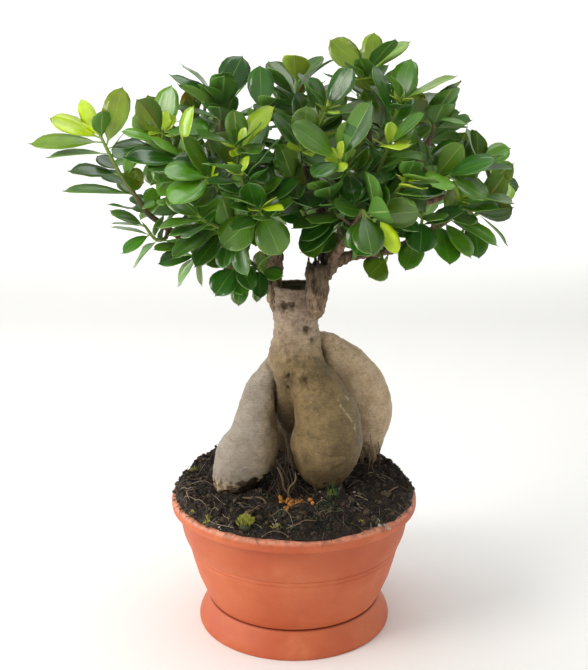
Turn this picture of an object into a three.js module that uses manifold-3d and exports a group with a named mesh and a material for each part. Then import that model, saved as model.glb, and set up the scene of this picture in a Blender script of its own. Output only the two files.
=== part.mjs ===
// A potted ginseng ficus: a grafted fig on swollen roots, in peat, in a clay bowl on an upturned saucer.
// Millimetres, +Z up. The origin is on the floor under the middle of the bowl. The front faces -Y.
import * as THREE from "three";
import { mergeVertices } from "three/addons/utils/BufferGeometryUtils.js";
import Module from "manifold-3d";

const wasm = await Module();
wasm.setup();

// Driving sizes of the clay
const RIM_RADIUS = 100;
const BOWL_TOP = 110;
const SAUCER_RADIUS = 79.3;
const SAUCER_HEIGHT = 21.2;
const FOOT_RADIUS = 70.5;
const CLAY_WALL = 5.5;
const DRAIN_RADIUS = 8;
const LATHE_SIDES = 30;

// Gap between pieces that rest on each other, between peat and clay, and between a root and its hole
const SEAT_GAP = 0.3;
const PEAT_GAP = 0.5;
const ROOT_GAP = 0.4;

// Peat: height of the mound over the floor, of its lumps, and how much it rises towards the back
const MOUND_TOP = 121;
const LUMP_HEIGHT = 1.6;
const MOUND_LEAN = 0.05;

// Leaves: thickness, and the room kept round each
const LEAF_THICK = 0.8;
const LEAF_ROOM = 1.5;
const LEAF_LENGTH = 39;
const LEAF_WIDTH_SHARE = 0.58;
const TWIG_FOOT_RADIUS = 1.8;
const TWIG_TIP_RADIUS = 1.1;
const TWIG_SIDES = 3;
const GOLDEN_ANGLE = 2.39996;
const TRIES = 12;
const FIRST_SEED = 4211;
const SEED_STEP = 97;

const clay = new THREE.MeshStandardMaterial({ color: "#cd7350", roughness: 0.75, metalness: 0 });
const peat = new THREE.MeshStandardMaterial({ color: "#2e211a", roughness: 1, metalness: 0 });
const bark = new THREE.MeshStandardMaterial({ color: "#9c8870", roughness: 0.8, metalness: 0 });
const youngBark = new THREE.MeshStandardMaterial({ color: "#5d4a41", roughness: 0.85, metalness: 0 });
const leafGreen = new THREE.MeshStandardMaterial({ color: "#2f6b2a", roughness: 0.35, metalness: 0 });

// Rows of x, y, z, half width and half depth along each part of the rootstock, from its top to its tip.
const rootstock = {
  neck: [
    [3.1, 8, 280, 21.5, 20], [2.6, 8, 268, 20.6, 19], [1.3, 8, 252, 17.4, 17], [1.5, 8, 240, 18.9, 18.5],
    [1.4, 7, 226, 21.2, 21], [2, 6, 210, 24, 23], [0.5, 7, 194, 22.6, 21], [0, 9, 177, 17, 17],
    [2, 12, 160, 12, 12], [4, 14, 130, 8, 8], [4, 14, 99, 3, 3],
  ],
  front: [
    [5, 4, 228, 13, 10], [10, -2, 213, 17, 16], [17.5, -9, 199, 21, 19], [23, -14, 187, 24, 22],
    [26.3, -17, 175, 26.3, 23], [26.2, -19, 162, 28.4, 25], [25, -18, 149, 27.2, 24], [23.4, -16, 136, 22, 20],
    [22, -13, 123.5, 14, 14], [21, -11, 111, 7, 7], [20, -10, 99, 3, 3],
  ],
  left: [
    [-2, 7, 224, 10, 10], [-12, 6, 212, 13, 12], [-21.5, 2, 200, 14, 13], [-28, -4, 187, 15, 14],
    [-30.5, -10, 174, 17, 15.5], [-32, -14, 162, 20.6, 18], [-36, -17, 151, 23.4, 20], [-42.4, -19, 140, 22.6, 18.5],
    [-49.5, -20, 127, 17, 15], [-55, -19, 112, 8.5, 8], [-56, -18, 99, 3, 3],
  ],
  right: [
    [4, 12, 234, 11, 10], [20, 19, 227, 12.5, 12], [34, 28, 215, 17, 17], [45.5, 36, 199, 22.6, 22],
    [53.5, 42, 180, 27.3, 26], [57.5, 46, 161, 27.2, 26], [60, 47, 144, 22.6, 21.5], [63, 48, 131, 14.5, 14],
    [65, 48, 120, 8.4, 8.4], [64, 47, 109, 5, 5], [62, 46, 99, 3, 3],
  ],
  back: [
    [3, 12, 228, 10, 10], [4, 22, 214, 14, 14], [3, 34, 196, 18, 17], [1, 43, 178, 20, 19.5],
    [-2, 49, 161, 19.5, 19], [-5, 53, 146, 16, 15.5], [-8, 55, 133, 12, 11.5], [-9, 56, 123, 9, 8.5],
    [-10, 56, 114, 7, 7], [-10, 56, 106, 5, 5], [-10, 56, 99, 3, 3],
  ],
};
const ROOT_STEPS = 10;
const ROOT_SIDES = 11;

// Rows of x, y, z and radius along each branch. The first of each scion is its foot, set into the trunk.
const scions = {
  scion_left: {
    foot: [[-13, 5, 260, 4], [-15, 4, 270, 6], [-16, 4, 286, 6.6], [-15, 5, 300, 6.4], [-15, 6, 314, 5.6]],
    long: [
      [-17, 3, 282, 4.6], [-27, -2, 287, 4.2], [-45, -12, 296, 3.6], [-62, -20, 309, 3.2], [-82, -30, 322, 2.7],
      [-100, -38, 337, 2.3],
    ],
    high: [[-15, 5, 305, 4.6], [-27, 6, 330, 4], [-43, 5, 358, 3.2], [-54, 2, 385, 2.3], [-55, 0, 398, 2]],
    side: [[-20, 8, 315, 4], [-48, 16, 336, 3.2], [-78, 22, 358, 2.4], [-98, 22, 378, 1.9]],
    back: [[-15, 6, 308, 4.4], [-24, 36, 334, 3.6], [-42, 58, 354, 2.8], [-64, 74, 364, 2]],
    front: [[-15, 3, 300, 4], [-19, -22, 318, 3.2], [-24, -52, 334, 2.4], [-24, -74, 344, 1.9]],
  },
  scion_right: {
    foot: [[17, -9, 257, 3], [17.5, -11, 264, 6.4], [17.5, -10, 274, 8.8], [18, -9, 287, 8.8], [18.5, -8, 300, 7.4]],
    long: [
      [19, -8, 284, 6.1], [24, -7, 291, 5.5], [34, -8, 302, 4.8], [50, -11, 308, 4.2], [77, -16, 313, 3.5],
      [104, -20, 328, 2.8], [124, -14, 340, 2],
    ],
    high: [[22, -5, 288, 4.8], [31, 0, 313, 4], [46, 5, 336, 3.2], [56, 8, 372, 2.5], [58, 8, 412, 2]],
    middle: [[25, -3, 296, 4], [22, 8, 330, 3.2], [10, 14, 368, 2.6], [4, 16, 402, 2]],
    front: [[28, -7, 300, 3.8], [36, -32, 318, 3], [42, -62, 336, 2.4], [46, -84, 348, 1.9]],
    side: [[46, 5, 332, 3], [76, 6, 356, 2.6], [98, 6, 382, 2.2], [104, 5, 396, 1.9]],
    far: [[40, 2, 320, 3.4], [78, 26, 332, 2.8], [116, 40, 344, 2.3], [142, 44, 352, 1.9]],
    back: [[24, 2, 300, 4], [26, 42, 330, 3.2], [22, 66, 352, 2.6], [14, 74, 360, 2]],
    corner: [[30, 34, 326, 2.8], [60, 54, 344, 2.4], [84, 70, 356, 1.9]],
  },
};
const BRANCH_STEPS = 4;
const BRANCH_SIDES = 5;

// Each leafy twig: the scion and branch that carry it, how far along, its tip, and how many leaves it grows
// by the rule. A branch's share of 1 is its end. Some have points to pass (via), and some have leaves placed
// by hand (marked): share of the twig, tip of the leaf, width, and the way its face looks.
const twigs = {
  left_tip: {
    on: ["scion_left", "long", 1], tip: [-135, -61, 400], leaves: 2, size: 0.7,
    via: [[-108, -42, 345], [-114, -46, 356], [-122, -51, 369], [-129, -57, 385]],
    marked: [
      [0.95, [-183, -66, 400], 19, [0, -0.5, 0.85]], [0.98, [-168, -66, 414], 17, [-0.2, -0.6, 0.75]],
      [0.97, [-148, -66, 424], 14, [-0.5, -0.7, 0.4]], [0.91, [-119, -60, 433], 19, [0.1, -0.9, 0.3]],
      [0.86, [-170, -70, 391], 14, [0, -0.25, 1]], [0.52, [-160, -66, 368], 15, [0, -0.35, 0.93]],
      [0.7, [-158, -58, 380], 15, [0, -0.5, 0.85]], [0.9, [-106, -54, 397], 14, [0.2, -0.3, 0.9]],
      [0.72, [-107, -44, 366], 16, [0.3, -0.9, 0.2]], [0.4, [-101, -52, 352], 13, [0.2, -0.6, 0.7]],
      [0.2, [-103, -34, 362], 13, [0.2, -0.95, 0.2]], [0.3, [-133, -52, 353], 10, [0, -0.05, 1]],
    ],
  },
  left_low: {
    on: ["scion_left", "long", 0.92], tip: [-108, -48, 335], leaves: 3, size: 0.8,
    marked: [[0.8, [-125, -54, 318], 14, [-0.2, -0.5, 0.85]], [1, [-124, -60, 345], 13, [0, -0.3, 0.95]]],
  },
  left_under: {
    on: ["scion_left", "long", 0.68], tip: [-78, -42, 320], leaves: 3, size: 0.85,
    marked: [[0.6, [-99, -46, 311], 20, [0, -0.45, 0.9]], [1, [-100, -60, 322], 15, [0, -0.3, 0.95]]],
  },
  low_cluster: {
    on: ["scion_left", "long", 0.4], tip: [-43, -52, 309], leaves: 3, size: 0.75,
    marked: [
      [0.9, [-57, -62, 288], 21, [-0.1, -0.85, 0.5]], [0.8, [-37, -62, 288], 15, [0.1, -0.8, 0.5]],
      [1, [-29, -68, 294], 14, [0.2, -0.8, 0.4]], [0.94, [-50, -66, 328], 17, [0, -0.8, 0.5]],
    ],
  },
  low_inner: {
    on: ["scion_left", "long", 0.18], tip: [-26, -28, 301], leaves: 2, size: 0.6,
    marked: [[1, [-25, -46, 282], 13, [0.1, -0.9, 0.3]], [0.9, [-9, -38, 297], 13, [0.1, -0.8, 0.6]]],
  },
  left_shoulder: {
    on: ["scion_left", "side", 1], tip: [-97, -14, 400], leaves: 4,
    marked: [[0.95, [-111, -30, 423], 21, [0, -0.8, 0.5]], [0.8, [-128, -8, 402], 16, [0, -0.4, 0.9]]],
  },
  left_back: { on: ["scion_left", "side", 0.86], tip: [-112, 40, 388], leaves: 5 },
  left_wing: {
    on: ["scion_left", "side", 0.62], tip: [-78, -50, 388], leaves: 5,
    marked: [[0.9, [-117, -58, 390], 20, [0.1, -0.6, 0.8]]],
  },
  left_heart: { on: ["scion_left", "side", 0.35], tip: [-84, -38, 358], leaves: 6 },
  left_top: {
    on: ["scion_left", "high", 1], tip: [-54, -2, 424], leaves: 4,
    marked: [
      [0.95, [-39, 4, 456], 24, [0, -0.95, 0.25]], [0.9, [-90, 4, 446], 12, [0.3, -0.5, 0.8]],
      [0.6, [-96, 8, 424], 12, [0, -0.25, 0.95]],
    ],
  },
  left_ridge: {
    on: ["scion_left", "high", 0.78], tip: [-22, -14, 416], leaves: 5,
    marked: [[0.95, [-25, -12, 448], 20, [0, -1, 0.15]]],
  },
  left_face: {
    on: ["scion_left", "high", 0.6], tip: [-38, -66, 394], leaves: 6,
    marked: [[1, [-27, -94, 408], 24, [0, -0.7, 0.7]]],
  },
  left_crest: { on: ["scion_left", "high", 0.9], tip: [-86, 36, 408], leaves: 5 },
  left_chest: { on: ["scion_left", "high", 0.42], tip: [-58, -86, 374], leaves: 6 },
  left_rear: { on: ["scion_left", "back", 1], tip: [-96, 92, 374], leaves: 6 },
  left_rear_top: { on: ["scion_left", "back", 0.72], tip: [-62, 66, 408], leaves: 6 },
  left_rear_low: { on: ["scion_left", "back", 0.86], tip: [-36, 92, 338], leaves: 5 },
  left_rear_side: { on: ["scion_left", "back", 0.6], tip: [-104, 62, 350], leaves: 5 },
  front_left: {
    on: ["scion_left", "front", 1], tip: [-23, -98, 354], leaves: 3, size: 0.8,
    marked: [
      [0.9, [-49, -104, 330], 25, [-0.2, -0.9, 0.4]], [0.95, [-9, -110, 326], 24, [0.1, -0.95, 0.3]],
      [1, [-8, -112, 358], 9, [0, -0.5, 0.85]],
    ],
  },
  front_left_side: { on: ["scion_left", "front", 0.75], tip: [-64, -78, 344], leaves: 6 },
  front_left_high: { on: ["scion_left", "front", 0.85], tip: [-36, -94, 378], leaves: 5 },
  middle_top: { on: ["scion_right", "middle", 1], tip: [2, 14, 436], leaves: 7 },
  middle_face: { on: ["scion_right", "middle", 0.72], tip: [6, -72, 392], leaves: 6 },
  middle_heart: { on: ["scion_right", "middle", 0.5], tip: [0, -58, 366], leaves: 6 },
  middle_low: { on: ["scion_right", "middle", 0.3], tip: [2, -44, 352], leaves: 4 },
  middle_rear: { on: ["scion_right", "middle", 0.82], tip: [0, 62, 418], leaves: 6 },
  middle_ridge: { on: ["scion_right", "middle", 0.9], tip: [24, -36, 418], leaves: 6 },
  crown_top: {
    on: ["scion_right", "high", 1], tip: [56, 6, 444], leaves: 4, size: 0.85,
    marked: [
      [0.95, [27, 8, 467], 20, [-0.2, -0.9, 0.3]], [1, [60, 8, 472], 16, [0, -0.95, 0.2]],
      [0.97, [84, 6, 468], 13, [0, -0.6, 0.8]],
    ],
  },
  crown_right: {
    on: ["scion_right", "high", 0.86], tip: [78, -28, 424], leaves: 6,
    marked: [[0.8, [86, -6, 446], 19, [-0.4, -0.8, 0.4]]],
  },
  crown_rear: { on: ["scion_right", "high", 0.92], tip: [50, 54, 432], leaves: 6 },
  crown_face: {
    on: ["scion_right", "high", 0.7], tip: [30, -92, 386], leaves: 5,
    marked: [[0.97, [50, -98, 425], 17, [-0.3, -0.9, 0.2]]],
  },
  crown_heart: { on: ["scion_right", "high", 0.55], tip: [66, -74, 396], leaves: 6 },
  right_core: { on: ["scion_right", "side", 0.3], tip: [66, -46, 366], leaves: 5 },
  right_mid: { on: ["scion_right", "high", 0.35], tip: [34, -58, 372], leaves: 5 },
  right_shoulder: {
    on: ["scion_right", "side", 1], tip: [104, 3, 415], leaves: 4,
    marked: [[0.9, [121, 6, 432], 16, [-0.3, -0.8, 0.4]], [0.8, [133, 12, 407], 14, [0, -0.3, 1]]],
  },
  right_rear_top: { on: ["scion_right", "side", 0.8], tip: [104, 52, 404], leaves: 6 },
  right_wing: { on: ["scion_right", "side", 0.6], tip: [110, -58, 371], leaves: 6 },
  right_tip: {
    on: ["scion_right", "far", 1], tip: [161, 46, 358], leaves: 5, size: 0.8,
    marked: [[0.95, [184, 52, 353], 14, [0, -0.9, 0.4]]],
  },
  right_high: {
    on: ["scion_right", "far", 0.8], tip: [144, 22, 376], leaves: 5,
    marked: [[0.97, [168, 22, 387], 17, [-0.3, -0.8, 0.4]]],
  },
  right_rear: { on: ["scion_right", "far", 0.7], tip: [132, 76, 368], leaves: 5 },
  right_low: {
    on: ["scion_right", "long", 1], tip: [142, -14, 342], leaves: 4, size: 0.9,
    marked: [[0.6, [137, -36, 312], 19, [-0.2, -0.8, 0.55]], [0.8, [166, -12, 320], 11, [0, 0.1, 1]]],
  },
  right_face: {
    on: ["scion_right", "long", 0.78], tip: [90, -72, 347], leaves: 3,
    marked: [[0.9, [88, -84, 323], 23, [0, -0.95, 0.3]]],
  },
  round_leaf: {
    on: ["scion_right", "long", 0.6], tip: [70, -26, 308], leaves: 0,
    marked: [[1, [56, -36, 296], 22, [0, -0.9, 0.4]]],
  },
  right_inner: { on: ["scion_right", "long", 0.86], tip: [120, -48, 355], leaves: 6 },
  front_right: {
    on: ["scion_right", "front", 1], tip: [58, -90, 348], leaves: 4,
    marked: [[0.9, [42, -102, 324], 26, [0.1, -0.9, 0.4]], [1, [69, -108, 327], 12, [0, -1, 0.2]]],
  },
  front_right_high: { on: ["scion_right", "front", 0.82], tip: [76, -92, 374], leaves: 6 },
  front_middle: { on: ["scion_right", "front", 0.7], tip: [24, -74, 361], leaves: 6 },
  rear_middle: { on: ["scion_right", "back", 1], tip: [2, 93, 372], leaves: 6 },
  rear_top: { on: ["scion_right", "back", 0.75], tip: [22, 84, 402], leaves: 6 },
  rear_low: { on: ["scion_right", "back", 0.6], tip: [38, 92, 338], leaves: 5 },
  rear_corner: { on: ["scion_right", "corner", 1], tip: [102, 84, 372], leaves: 6 },
  rear_corner_top: { on: ["scion_right", "corner", 0.7], tip: [74, 78, 396], leaves: 6 },
};

// Small sums on rows of numbers
const plus = (a, b) => a.map((v, i) => v + b[i]);
const minus = (a, b) => a.map((v, i) => v - b[i]);
const times = (a, k) => a.map((v) => v * k);
const dot = (a, b) => a[0] * b[0] + a[1] * b[1] + a[2] * b[2];
const cross = (a, b) => [a[1] * b[2] - a[2] * b[1], a[2] * b[0] - a[0] * b[2], a[0] * b[1] - a[1] * b[0]];
const size = (a) => Math.sqrt(dot(a, a));
const unit = (a) => times(a, 1 / size(a));
const across = (a, along) => unit(minus(a, times(along, dot(a, along))));
const toward = (a, b, share) => plus(times(a, 1 - share), times(b, share));

// A seeded draw of numbers from 0 to 1
function dice(seed) {
  let state = seed;
  return () => {
    state = (state * 16807) % 2147483647;
    return state / 2147483647;
  };
}

// The row at a share of the way along a smooth curve through rows
function along(rows, share) {
  const last = rows.length - 1;
  const place = Math.min(Math.max(share, 0), 1) * last;
  const i = Math.min(Math.floor(place), last - 1);
  const f = place - i;
  const row = (k) => rows[Math.min(Math.max(k, 0), last)];
  const [a, b, c, d] = [row(i - 1), row(i), row(i + 1), row(i + 2)];
  return b.map((_, n) => {
    const slope = c[n] - a[n];
    const bend = 2 * a[n] - 5 * b[n] + 4 * c[n] - d[n];
    const twist = 3 * b[n] - a[n] - 3 * c[n] + d[n];
    return 0.5 * (2 * b[n] + slope * f + bend * f * f + twist * f * f * f);
  });
}

// The way a curve runs at a share of its length
function heading(rows, share) {
  const near = 0.01;
  const ahead = along(rows, Math.min(share + near, 1)).slice(0, 3);
  const behind = along(rows, Math.max(share - near, 0)).slice(0, 3);
  return unit(minus(ahead, behind));
}

// A closed tube through rows, with an oval section and flat ends. A row is x, y, z, radius and maybe depth.
function tube(rows, steps, sides, extra = 0) {
  const points = [];
  const triangles = [];
  let side = Math.abs(heading(rows, 0)[0]) > 0.8 ? [0, 1, 0] : [1, 0, 0];
  for (let k = 0; k <= steps; k++) {
    const row = along(rows, k / steps);
    const run = heading(rows, k / steps);
    side = across(side, run);
    const other = cross(run, side);
    const wide = row[3] + extra;
    const deep = (row[4] ?? row[3]) + extra;
    for (let n = 0; n < sides; n++) {
      const angle = (2 * Math.PI * n) / sides;
      const out = plus(times(side, wide * Math.cos(angle)), times(other, deep * Math.sin(angle)));
      points.push(plus(row.slice(0, 3), out));
    }
  }
  for (let k = 0; k < steps; k++) {
    for (let n = 0; n < sides; n++) {
      const a = k * sides + n;
      const b = k * sides + ((n + 1) % sides);
      triangles.push([a, b, b + sides], [a, b + sides, a + sides]);
    }
  }
  const end = steps * sides;
  for (let n = 1; n < sides - 1; n++) {
    triangles.push([0, n + 1, n], [end, end + n, end + n + 1]);
  }
  return { points, triangles };
}

// A leaf: it starts as an edge inside the twig, is widest past its middle and arches down towards the tip.
// thick is its thickness, and room is what is added round its edge. Without its foot it starts as a blunt
// wedge, clear of the leaves beside it.
const BELLY_SHARE = 0.5;
const SHOULDER_SHARE = 0.82;
const SHOULDER_WIDTH = 0.38;
const FOOT_SHARE = 0.22;
const ARCH = 0.12;
function blade(leaf, thick, room, foot) {
  const side = cross(leaf.run, leaf.face);
  const spot = (share, reach) => {
    const rise = thick / 2 - ARCH * leaf.length * share * share;
    const out = plus(times(leaf.run, leaf.length * share), times(side, reach));
    return plus(plus(leaf.base, out), times(leaf.face, rise));
  };
  const half = leaf.width / 2 + room;
  const shoulder = leaf.width * SHOULDER_WIDTH + room;
  const upper = [
    spot(foot ? 0 : FOOT_SHARE, 0), spot(BELLY_SHARE, half), spot(SHOULDER_SHARE, shoulder),
    spot(1 + room / leaf.length, 0), spot(SHOULDER_SHARE, -shoulder), spot(BELLY_SHARE, -half),
  ];
  const top = [[0, 1, 5], [5, 1, 2], [5, 2, 4], [4, 2, 3]];
  const lower = upper.map((point) => minus(point, times(leaf.face, thick)));
  const count = upper.length;
  const triangles = [...top, ...top.map(([a, b, c]) => [a + count, c + count, b + count])];
  upper.forEach((_, a) => {
    const b = (a + 1) % count;
    triangles.push([a, a + count, b + count], [a, b + count, b]);
  });
  return { points: [...upper, ...lower], triangles };
}

// A shape with the ball round it and its edges, to test what crosses it
function obstacle(shape, owner) {
  const middle = times(shape.points.reduce(plus), 1 / shape.points.length);
  const reach = Math.max(...shape.points.map((point) => size(minus(point, middle))));
  const edges = [];
  shape.triangles.forEach(([a, b, c]) => {
    [[a, b], [b, c], [c, a]].forEach(([p, q]) => {
      if (p < q) {
        edges.push([p, q]);
      }
    });
  });
  return { ...shape, edges, middle, reach, owner };
}

// Whether a line from p to q goes through the triangle a, b, c
function pierces(p, q, a, b, c) {
  const ab = minus(b, a);
  const ac = minus(c, a);
  const line = minus(q, p);
  const h = cross(line, ac);
  const det = dot(ab, h);
  if (Math.abs(det) < 1e-9) {
    return false;
  }
  const s = minus(p, a);
  const u = dot(s, h) / det;
  const g = cross(s, ab);
  const v = dot(line, g) / det;
  const t = dot(ac, g) / det;
  return u >= 0 && v >= 0 && u + v <= 1 && t >= 0 && t <= 1;
}

function goesThrough(one, other) {
  return one.edges.some(([p, q]) => other.triangles.some(([a, b, c]) => pierces(
    one.points[p], one.points[q], other.points[a], other.points[b], other.points[c])));
}

function crosses(one, other) {
  if (size(minus(one.middle, other.middle)) > one.reach + other.reach) {
    return false;
  }
  return goesThrough(one, other) || goesThrough(other, one);
}

// The middle and radius of a tube's wood at a share of its length, straight from ring to ring, and its run
const TWIG_STEPS = 3;
const LONG_TWIG_STEPS = 7;
function woodAt(rows, steps, share) {
  const place = share * steps;
  const ring = Math.min(Math.floor(place), steps - 1);
  const from = along(rows, ring / steps);
  const to = along(rows, (ring + 1) / steps);
  const row = toward(from, to, place - ring);
  return { centre: row.slice(0, 3), radius: row[3], run: unit(minus(to, from).slice(0, 3)) };
}

// The curve of a twig, from just off the bark of its branch to its tip
const FOOT_REACH = 7;
const TWIG_SAG = 5;
function twigRows(twig) {
  const [scion, branch, share] = twig.on;
  const rows = scions[scion][branch];
  const isEnd = share === 1;
  const { centre, radius: girth, run } = woodAt(rows, BRANCH_STEPS, share);
  const next = twig.via ? twig.via[0] : twig.tip;
  const out = isEnd ? heading(rows, 1) : across(minus(next, centre), run);
  const foot = plus(centre, times(out, (isEnd ? 0 : girth) + SEAT_GAP));
  const footRadius = isEnd ? girth : TWIG_FOOT_RADIUS;
  const knee = plus(foot, times(out, FOOT_REACH));
  const middle = plus(toward(knee, twig.tip, 0.5), [0, 0, -TWIG_SAG]);
  const path = [foot, knee, ...(twig.via ?? [middle]), twig.tip];
  return path.map((point, i) => {
    const radius = footRadius + ((TWIG_TIP_RADIUS - footRadius) * i) / (path.length - 1);
    return [...point, radius];
  });
}

// A leaf takes its place: whole for the leaves of other twigs, without its foot for those of its own
function settle(twig, leaf, taken) {
  twig.grown.push(leaf);
  taken.push(obstacle(blade(leaf, LEAF_THICK, 0, true), twig.name));
  taken.push(obstacle(blade(leaf, LEAF_THICK, 0, false), `${twig.name} blade`));
}

function isClear(twig, leaf, taken) {
  const whole = obstacle(blade(leaf, LEAF_THICK + 2 * LEAF_ROOM, LEAF_ROOM, true));
  const open = obstacle(blade(leaf, LEAF_THICK + LEAF_ROOM, 0, false));
  return taken.every((thing) => {
    if (thing.owner === twig.name || thing.owner === `${twig.name} wood`) {
      return true;
    }
    return !crosses(thing.owner === `${twig.name} blade` ? open : whole, thing);
  });
}

// The leaves placed by hand
function placeMarked(twig, taken) {
  (twig.marked ?? []).forEach(([share, tip, width, face]) => {
    const base = woodAt(twig.rows, twig.steps, share).centre;
    const run = unit(minus(tip, base));
    settle(twig, { base, run, face: across(face, run), length: size(minus(tip, base)), width }, taken);
  });
}

// The leaves that the rule turns round the twig. They open from it by an angle that drops towards its tip,
// lift a little, and face up. Each is turned on and shortened until it is clear.
const FIRST_LEAF_SHARE = 0.34;
const LAST_LEAF_SHARE = 0.98;
const OPEN_LOW = 1.222;
const OPEN_DROP = 0.7;
const OPEN_SPREAD = 0.3;
const LIFT = 0.12;
const FACE_UP = 0.7;
const TILT_SPREAD = 0.5;
const SHRINK = 0.03;
const SHORTEST = 0.84;
const LENGTH_SPREAD = 0.3;
const NARROWEST = 0.9;
const WIDTH_SPREAD = 0.2;
function growLeaves(twig, seed, taken) {
  const random = dice(seed);
  for (let i = 0; i < twig.leaves; i++) {
    const share = FIRST_LEAF_SHARE + ((LAST_LEAF_SHARE - FIRST_LEAF_SHARE) * (i + 1)) / twig.leaves;
    const base = woodAt(twig.rows, twig.steps, share).centre;
    const up = heading(twig.rows, share);
    const side = across(Math.abs(up[2]) > 0.9 ? [1, 0, 0] : [0, 0, 1], up);
    const other = cross(up, side);
    const turn = random() * 2 * Math.PI;
    for (let attempt = 0; attempt < TRIES; attempt++) {
      const angle = turn + GOLDEN_ANGLE * (i + attempt);
      const open = OPEN_LOW - OPEN_DROP * (share - FIRST_LEAF_SHARE) + OPEN_SPREAD * (random() - 0.5);
      const out = plus(times(side, Math.cos(angle)), times(other, Math.sin(angle)));
      const run = unit(plus(plus(times(up, Math.cos(open)), times(out, Math.sin(open))), [0, 0, LIFT]));
      const tilt = [TILT_SPREAD * (random() - 0.5), TILT_SPREAD * (random() - 0.5), 0];
      const face = across(plus(plus(times(up, FACE_UP), [0, 0, FACE_UP]), tilt), run);
      const shrink = 1 - SHRINK * attempt;
      const length = LEAF_LENGTH * (twig.size ?? 1) * shrink * (SHORTEST + LENGTH_SPREAD * random());
      const width = length * LEAF_WIDTH_SHARE * (NARROWEST + WIDTH_SPREAD * random());
      const leaf = { base, run, face, length, width };
      if (isClear(twig, leaf, taken)) {
        settle(twig, leaf, taken);
        break;
      }
    }
  }
}

// Meshes to solids and back
function solid({ points, triangles }) {
  return new wasm.Manifold(new wasm.Mesh({
    numProp: 3,
    vertProperties: new Float32Array(points.flat()),
    triVerts: new Uint32Array(triangles.flat()),
  }));
}

function solidOf(geometry) {
  const bare = geometry.clone();
  bare.deleteAttribute("normal");
  bare.deleteAttribute("uv");
  const merged = mergeVertices(bare, 1e-4);
  return new wasm.Manifold(new wasm.Mesh({
    numProp: 3,
    vertProperties: new Float32Array(merged.attributes.position.array),
    triVerts: new Uint32Array(merged.index.array),
  }));
}

const part = new THREE.Group();
function add(name, manifold, material) {
  const { vertProperties, triVerts } = manifold.getMesh();
  const geometry = new THREE.BufferGeometry();
  geometry.setAttribute("position", new THREE.BufferAttribute(vertProperties, 3));
  geometry.setIndex(new THREE.BufferAttribute(triVerts, 1));
  geometry.computeVertexNormals();
  const mesh = new THREE.Mesh(geometry, material);
  mesh.name = name;
  part.add(mesh);
}

// A turned piece from its outline in radius and height, which runs up the outside
function turned(outline) {
  const profile = outline.map(([radius, height]) => new THREE.Vector2(radius, height));
  return new THREE.LatheGeometry(profile, LATHE_SIDES).rotateX(Math.PI / 2);
}

// The saucer stands rim down: a closed floor on top, a flared wall, and open below
function makeSaucer() {
  const inner = SAUCER_HEIGHT - CLAY_WALL;
  return solidOf(turned([
    [0, inner], [FOOT_RADIUS - CLAY_WALL - 2, inner], [FOOT_RADIUS - CLAY_WALL + 1, inner - 3],
    [SAUCER_RADIUS - CLAY_WALL, 0], [SAUCER_RADIUS - 1, 0], [SAUCER_RADIUS, 1.2],
    [FOOT_RADIUS + 1, SAUCER_HEIGHT - 1.6], [FOOT_RADIUS - 1, SAUCER_HEIGHT], [0, SAUCER_HEIGHT],
  ]));
}

// The outline of the bowl by radius and height: foot, flared body and rolled rim, then the inside
const BOWL_FOOT = SAUCER_HEIGHT + SEAT_GAP;
const BOWL_FLOOR = BOWL_FOOT + CLAY_WALL;
const bowlOutside = [
  [FOOT_RADIUS - 1.6, BOWL_FOOT], [FOOT_RADIUS, BOWL_FOOT + 1.2], [73.6, 28], [79.8, 44], [84.4, 60],
  [87.2, 69], [91, 82], [93.4, 99.4], [98, 100], [RIM_RADIUS, 102.6], [RIM_RADIUS, 107.2], [97, BOWL_TOP],
];
const bowlInside = [
  [91.5, 108.4], [88, 100], [82, 70], [75, 44], [65, BOWL_FLOOR], [DRAIN_RADIUS, BOWL_FLOOR],
];
function makeBowl() {
  const outline = [[DRAIN_RADIUS, BOWL_FOOT], ...bowlOutside, ...bowlInside, [DRAIN_RADIUS, BOWL_FOOT]];
  return solidOf(turned(outline));
}

// The peat fills the bowl and rises into a lumpy mound
function lumps(x, y) {
  const waves = Math.sin(x / 9 + 1.3) * Math.cos(y / 11) + 0.6 * Math.sin(x / 5 + y / 7);
  return LUMP_HEIGHT * waves + MOUND_LEAN * y;
}
function makePeat() {
  const wall = bowlInside.slice(0, -1).map(([radius, height]) => [radius - PEAT_GAP, height]).reverse();
  wall[0][1] = BOWL_FLOOR + SEAT_GAP;
  const mound = [[88, MOUND_TOP - 5.5], [78, MOUND_TOP - 2], [58, MOUND_TOP], [34, MOUND_TOP], [0, MOUND_TOP - 1]];
  const geometry = turned([[0, BOWL_FLOOR + SEAT_GAP], ...wall, ...mound]);
  const position = geometry.attributes.position;
  for (let i = 0; i < position.count; i++) {
    if (position.getZ(i) > BOWL_TOP) {
      position.setZ(i, position.getZ(i) + lumps(position.getX(i), position.getY(i)));
    }
  }
  let ground = solidOf(geometry);
  Object.values(rootstock).forEach((rows) => {
    ground = ground.subtract(solid(tube(rows, ROOT_STEPS, ROOT_SIDES, ROOT_GAP)));
  });
  return ground;
}

// The rootstock is one body, with a cleft for the foot of each scion
function makeRootstock() {
  let wood = solid(tube(rootstock.neck, ROOT_STEPS, ROOT_SIDES));
  ["front", "left", "right", "back"].forEach((root) => {
    wood = wood.add(solid(tube(rootstock[root], ROOT_STEPS, ROOT_SIDES)));
  });
  Object.values(scions).forEach((branches) => {
    ["foot", "long"].forEach((branch) => {
      wood = wood.subtract(solid(tube(branches[branch], BRANCH_STEPS, BRANCH_SIDES, ROOT_GAP)));
    });
  });
  return wood;
}

function makeScion(branches) {
  const tubes = Object.values(branches).map((rows) => solid(tube(rows, BRANCH_STEPS, BRANCH_SIDES)));
  return tubes.reduce((wood, branch) => wood.add(branch));
}

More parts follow.
